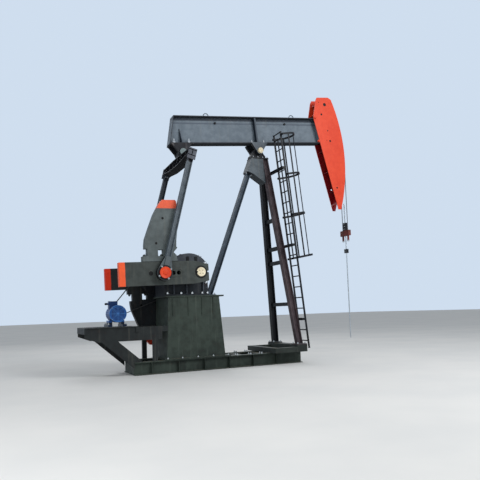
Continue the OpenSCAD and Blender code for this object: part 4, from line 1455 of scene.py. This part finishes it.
class Bridle(Part):
    """The wire lines, the carrier bar, its clamps and the polished rod."""

    radius = 3.233
    line_y = 0.14
    wire = 0.013
    carrier_low = 3.9853
    top_angle = math.radians(29.5)
    nodes = {
        "carrier_bar": "carrier_rust",
        "rod_clamps": "black_paint",
        "polished_rod": "rod_steel",
    }

    def hanging(self) -> None:
        """Two straight laid ropes from the tangent point down into the carrier."""
        x, top = SADDLE[0] + self.radius, SADDLE[2]
        z = np.linspace(top, self.carrier_low, 150)
        for name, side in zip(("hanger_near", "hanger_far"), SIDES):
            path = np.stack([np.full(150, x), np.full(150, side * self.line_y), z], axis=-1)
            made = self.shape().grid(rope(path, self.wire)).loose(name, "wire_steel")
            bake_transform(made)
            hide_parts("hanger_lines")

    def wrapped(self) -> None:
        """The same ropes where they lie on the head's track, an arc about the saddle."""
        a = np.linspace(0.0, BEAM_TILT + self.top_angle, 170)
        for name, side in zip(("wrap_near", "wrap_far"), SIDES):
            path = arc((SADDLE[0], SADDLE[2]), self.radius, a, side * self.line_y)
            made = self.shape().grid(rope(path, self.wire)).loose(name, "wire_steel")
            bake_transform(made)
            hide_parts("head_lines")

    def anchors(self) -> None:
        """The sockets that hold the ropes' upper ends on the track."""
        shape = self.shape(ON_BEAM)
        c, s = math.cos(self.top_angle), math.sin(self.top_angle)
        socket = [(0.016, 0.0), (0.019, 0.01), (0.019, 0.08), (0.014, 0.1)]
        for side in SIDES:
            low_end = (self.radius * c + 0.06 * s, side * self.line_y, self.radius * s - 0.06 * c)
            shape.turned(socket, low_end, (-s, 0.0, c), 20)
        shape.piece("rope_anchors", "bolt_steel", True)

    def fixings(self) -> None:
        """Nuts of the rod clamps, and the ferrules under the carrier bar."""
        shape = self.shape(ON_CARRIER)
        x = SADDLE[0] + self.radius
        for z in (4.21, 4.3, 4.39, 3.44, 3.51):
            for way in SIDES:
                spots = [(x + way * 0.045, y, z) for y in (-0.04, 0.04)]
                shape.bolts(spots, (way, 0, 0), 0.011, 0.5)
        ferrule = [(0.034, 0.0), (0.038, 0.004), (0.038, 0.03), (0.03, 0.036), (0.018, 0.04)]
        for side in SIDES:
            shape.turned(ferrule, (x, side * self.line_y, 3.83), (0, 0, -1), 24)
        shape.piece("carrier_nuts", "bolt_steel")

    def build(self) -> None:
        """Builds the bridle's pieces."""
        self.hanging()
        self.wrapped()
        self.anchors()
        self.fixings()


class Pitmans(Part):
    """The equalizer beam, the pitmans and their wrist bearings."""

    mount = ON_PITMAN
    length = 3.72
    y = 1.142
    cover_y = 1.263
    end = 1.242
    nodes = {
        "equalizer_beam": "black_paint",
        "pitman_near": "pitman_paint",
        "pitman_far": "far_pitman_shade_paint",
        "wrist_bearing_near": "wrist_paint",
        "wrist_bearing_far": "wrist_paint",
    }

    def equalizer(self) -> None:
        """The cross beam as it is welded: web, bent flanges, stiffeners, bearing and end plates."""
        beam, plates = self.shape(), self.shape()
        end, flat = self.end, self.end - 0.2
        upper = [(-end, -0.235), (-0.3, -0.195), (0.3, -0.195), (end, -0.235)]
        lower = [(-end, -0.415), (-flat, -0.415), (-0.35, -0.495)]
        lower += [(-y, z) for y, z in lower[::-1]]
        web = [(y, z - 0.01) for y, z in upper[::-1]] + [(y, z + 0.01) for y, z in lower]
        beam.slab(web, -0.012, 0.012)
        beam.slab(upper + [(y, z - 0.024) for y, z in upper[::-1]], -0.12, 0.12)
        beam.slab(lower + [(y, z + 0.024) for y, z in lower[::-1]], -0.12, 0.12)
        for y, high, low in ((0.16, -0.2, -0.49), (0.52, -0.21, -0.47), (0.9, -0.225, -0.43)):
            beam.blocks((-0.112, y, low), (0.112, y + 0.016, high))
        beam.block((-0.09, -0.13, -0.21), (0.09, 0.13, -0.09))
        hub = [(0.061, -0.13), (0.108, -0.13), (0.115, -0.12)]
        hub += [(r, -h) for r, h in hub[::-1]] + hub[:1]
        beam.turned(hub, (0, 0, 0), ACROSS, 48, False)
        plates.blocks((-0.118, end - 0.022, -0.51), (0.118, end, -0.2))
        made = beam.piece("equalizer_plates", "equalizer_paint")
        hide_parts("equalizer_beam")
        plates.piece("equalizer_end_plates", "end_plate_paint")

    def covers(self) -> None:
        """Red wrist covers: a dished disc with a raised rim and hub, and four nuts at its edge."""
        covers, nuts = self.shape(), self.shape()
        profile = [
            (0.152, 0.0), (0.152, 0.012), (0.14, 0.02), (0.126, 0.016), (0.09, 0.012),
            (0.062, 0.014), (0.056, 0.024), (0.03, 0.026), (0.006, 0.026),
        ]
        covers.discs(profile, (0.0, self.cover_y, -self.length), 56)
        angles = CORNERS - math.radians(1.0)
        spots = arc((0.0, -self.length), 0.179, angles, self.cover_y - 0.026)
        nuts.side_bolts(spots, 0.0185, 0.8)
        covers.piece("wrist_covers", "cover_red")
        nuts.piece("wrist_nuts", "bolt_steel")

    def joints(self) -> None:
        """Nuts under the pitmans' top plates."""
        shape = self.shape()
        spots = [(dx, -self.y + dy, -0.456) for dx in (-0.03, 0.03) for dy in (-0.05, 0.05)]
        shape.bolts(both(spots), (0, 0, -1), 0.016)
        shape.piece("pitman_nuts", "bolt_steel")

    def build(self) -> None:
        """Builds the pitmans' pieces."""
        self.equalizer()
        self.covers()
        self.joints()


class Cranks(Part):
    """The cranks, the crankshaft's ends and the counterweights."""

    mount = ON_CRANK
    outer = 1.035
    throw = 1.067
    pitch = 0.145
    slot_radius = 0.098
    spare = -1.397
    nodes = {
        "crank_near": "crank_paint",
        "crank_far": "far_crank_paint",
        "counterweight_near": "near_weight_paint",
        "counterweight_far": "far_weight_shade_paint",
        "wrist_pins": "rod_steel",
        "crankshaft": "cap_paint",
    }

    def shaft_ends(self) -> None:
        """Turned end discs with a near-black seal ring round them, and four tapped holes and a key
        in near black as painted shade.
        """
        discs, marks = self.shape(), self.shape()
        face = self.outer + 0.0262
        rim = [(0.125, 0.0), (0.122, 0.005), (0.094, 0.006), (0.09, 0.002), (0.03, 0.002)]
        rim += [(0.027, 0.005), (0.008, 0.005)]
        discs.discs(rim, (0.0, face, 0.0), 56)
        seal = [(0.127, 0.0), (0.172, 0.0), (0.172, 0.007), (0.165, 0.012), (0.127, 0.012)]
        seal += seal[:1]
        marks.discs(seal, (0.0, self.outer, 0.0), 56, False)
        for x in (0.042, -0.042):
            for z in (0.042, -0.042):
                marks.discs([(0.013, 0.0), (0.012, 0.0035)], (x, face + 0.0015, z), 16)
        marks.blocks((-0.131, face - 0.004, -0.02), (-0.098, face + 0.007, 0.02))
        discs.piece("shaft_end_discs", "cap_paint")
        marks.piece("shaft_end_marks", "near_black_and_shade")

    def hole_rims(self) -> None:
        """The raised rim round the row of pin holes, and the ring of the outermost hole.

        The rim's path is two half circles about the row's end holes, joined by straight runs.
        """
        shape = self.shape()
        a = full_turn(64)
        run = 1.5 * self.pitch
        centre_x = run - self.throw + run * np.sign(np.cos(a))
        way = np.stack([np.cos(a), np.zeros(64), np.sin(a)], axis=-1)
        rail = np.array([(0.0, 0.0), (0.0, 0.006), (0.02, 0.004), (0.024, 0.0), (0.0, 0.0)])
        ring = [(0.058, 0.0), (0.058, 0.005), (0.076, 0.005), (0.08, 0.0), (0.058, 0.0)]
        for side in SIDES:
            centre = np.stack([centre_x, np.full(64, side * self.outer), np.zeros(64)], axis=-1)
            rings = centre + way * (self.slot_radius + rail[:, 0, None, None])
            rings = rings + np.array([0.0, side, 0.0]) * rail[:, 1, None, None]
            shape.grid(rings if side > 0 else rings[::-1], ends=False)
        shape.discs(ring, (self.spare, self.outer, 0.0), 40, False)
        shape.piece("pin_hole_rims", "crank_paint")

    def painted_shades(self) -> None:
        """Near-black discs in the outermost hole and the weights' holes, painted as their shade,
        and near-black strips painted as the shadow between the weights' feet and the cranks' tops.
        """
        shape = self.shape()
        for side in SIDES:
            for x, v in ((-1.007, 1.4684), (-1.214, 0.7962)):
                spot = (x, side * 1.039, -side * v)
                shape.turned([(0.0335, -0.03), (0.0335, -0.008)], spot, (0, side, 0))
            shape.block((-1.6, side * 1.02, -side * 0.309), (-0.64, side * 1.0405, -side * 0.319))
        shape.discs([(0.058, 0.0), (0.057, 0.002)], (self.spare, self.outer, 0.0))
        shape.piece("spare_hole_painted_shades", "near_black_and_shade")

    def clamp(self) -> None:
        """Studs with nuts that close the crank's split hub, above and below the ears."""
        shape = self.shape()
        for z, way in ((0.222, 1), (-0.2545, -1)):
            shape.bolts(both([(0.165, y, z) for y in (-0.99, -0.9)]), (0, 0, way), 0.03)
        shape.piece("crank_clamp_nuts", "bolt_steel")

    def weight_bolts(self) -> None:
        """Bolts in the counterweights' foot notches and windows."""
        shape = self.shape()
        for side in SIDES:
            for x, v in ((-1.535, 0.4552), (-1.065, 0.4592)):
                spots = [(x, side * y, -side * v) for y in (0.9, 0.99)]
                shape.bolts(spots, (0, 0, -side), 0.026, 0.7)
        shape.piece("weight_bolts", "frame_paint")

    def build(self) -> None:
        """Builds the cranks' pieces."""
        self.shaft_ends()
        self.hole_rims()
        self.painted_shades()
        self.clamp()
        self.weight_bolts()


# ---------------------------------------------------------------- studio


@dataclass
class Studio:
    """Floor, sky light, lamps and the camera."""

    eye: Triple = (-5.130, -14.885, 1.590)
    yaw: float = 25.07
    pitch: float = 5.143
    roll: float = -1.984
    lens: float = 40.58
    shift: tuple[float, float] = (-0.0116, 0.0467)
    sky_light: tuple = (0.93, 0.965, 1.0, 1.0)
    sky_strength: float = 0.44
    backdrop: tuple = srgb(206, 221, 238)

    def floor(self) -> None:
        """One pale sheet under the unit that runs far back."""
        mesh = bpy.data.meshes.new("floor")
        corners = [(-90, -60, 0), (110, -60, 0), (110, 140, 0), (-90, 140, 0)]
        mesh.from_pydata(corners, [], [(0, 1, 2, 3)])
        made = bpy.data.objects.new("floor", mesh)
        bpy.context.scene.collection.objects.link(made)
        g = Surface("floor_paint")
        soft = g.noise(g.place(), 0.35, 4.0)
        g.set(
            Base_Color=g.mix(soft.step(0.3, 0.7), srgb(226, 226, 224), srgb(218, 219, 218)),
            Roughness=0.85,
        )
        made.data.materials.append(g.material)

    def sky(self) -> None:
        """A soft even sky, with a pale backdrop for rays that see it directly."""
        world = bpy.data.worlds.new("studio_sky")
        bpy.context.scene.world = world
        g = Graph(world)
        seen = g.link("ShaderNodeLightPath", output="Is Camera Ray")
        for ray in ("Is Glossy Ray", "Is Transmission Ray"):
            seen = seen.larger(g.link("ShaderNodeLightPath", output=ray))
        light = g.link("ShaderNodeBackground", None, {0: self.sky_light, 1: self.sky_strength})
        backdrop = g.link("ShaderNodeBackground", None, {0: self.backdrop, 1: 1.0})
        blend = g.link("ShaderNodeMixShader", None, {0: seen, 1: light, 2: backdrop})
        g.node("ShaderNodeOutputWorld", None, {0: blend})

    def lamp(self, name: str, place: Triple, aim: Triple, size: float, power: float) -> None:
        """A square area lamp that looks from one place at another."""
        data = bpy.data.lights.new(name, "AREA")
        data.shape = "SQUARE"
        data.size = size
        data.energy = power
        made = bpy.data.objects.new(name, data)
        made.location = place
        made.rotation_euler = (Vector(aim) - Vector(place)).to_track_quat("-Z", "Y").to_euler()
        bpy.context.scene.collection.objects.link(made)

    def camera(self) -> None:
        """The camera at the photograph's place, worked out from yaw, pitch and roll."""
        y, p, r = (math.radians(v) for v in (self.yaw, self.pitch, self.roll))
        ahead = Vector((math.sin(y) * math.cos(p), math.cos(y) * math.cos(p), math.sin(p)))
        right0 = Vector((math.cos(y), -math.sin(y), 0.0))
        up0 = Vector((-math.sin(y) * math.sin(p), -math.cos(y) * math.sin(p), math.cos(p)))
        right = right0 * math.cos(r) + up0 * math.sin(r)
        up = up0 * math.cos(r) - right0 * math.sin(r)
        data = bpy.data.cameras.new("camera")
        data.sensor_width = 36.0
        data.lens = self.lens
        data.shift_x, data.shift_y = self.shift
        data.clip_end = 400.0
        made = bpy.data.objects.new("camera", data)
        turn = Matrix((right, up, -ahead)).transposed()
        made.matrix_world = Matrix.Translation(self.eye) @ turn.to_4x4()
        bpy.context.scene.collection.objects.link(made)
        bpy.context.scene.camera = made

    def build(self) -> None:
        """Builds the studio."""
        bpy.context.scene.view_settings.view_transform = "Standard"
        self.floor()
        self.sky()
        self.lamp("key_lamp", (8.0, -15.0, 12.0), (0.5, 0.0, 3.5), 7.0, 1850.0)
        self.lamp("fill_lamp", (-9.0, -12.0, 4.5), (-0.5, 0.0, 2.2), 6.0, 420.0)
        self.lamp("back_lamp", (2.0, 14.0, 14.0), (2.0, 0.0, 4.0), 9.0, 600.0)
        self.camera()

KINDS = (
    Skid, Pedestal, Reducer, Motor, Post, Ladder, WalkingBeam, Horsehead, Bridle, Pitmans, Cranks,
)


def main() -> None:
    """Builds and dresses the unit from the ground up, then the studio."""
    logging.basicConfig(level=logging.INFO, format="%(name)s %(message)s")
    finish = Finish()
    for kind in KINDS:
        kind(finish).build()
        LOG.info("%s built", kind.__name__)
    Studio().build()


if __name__ == "__main__":
    main()
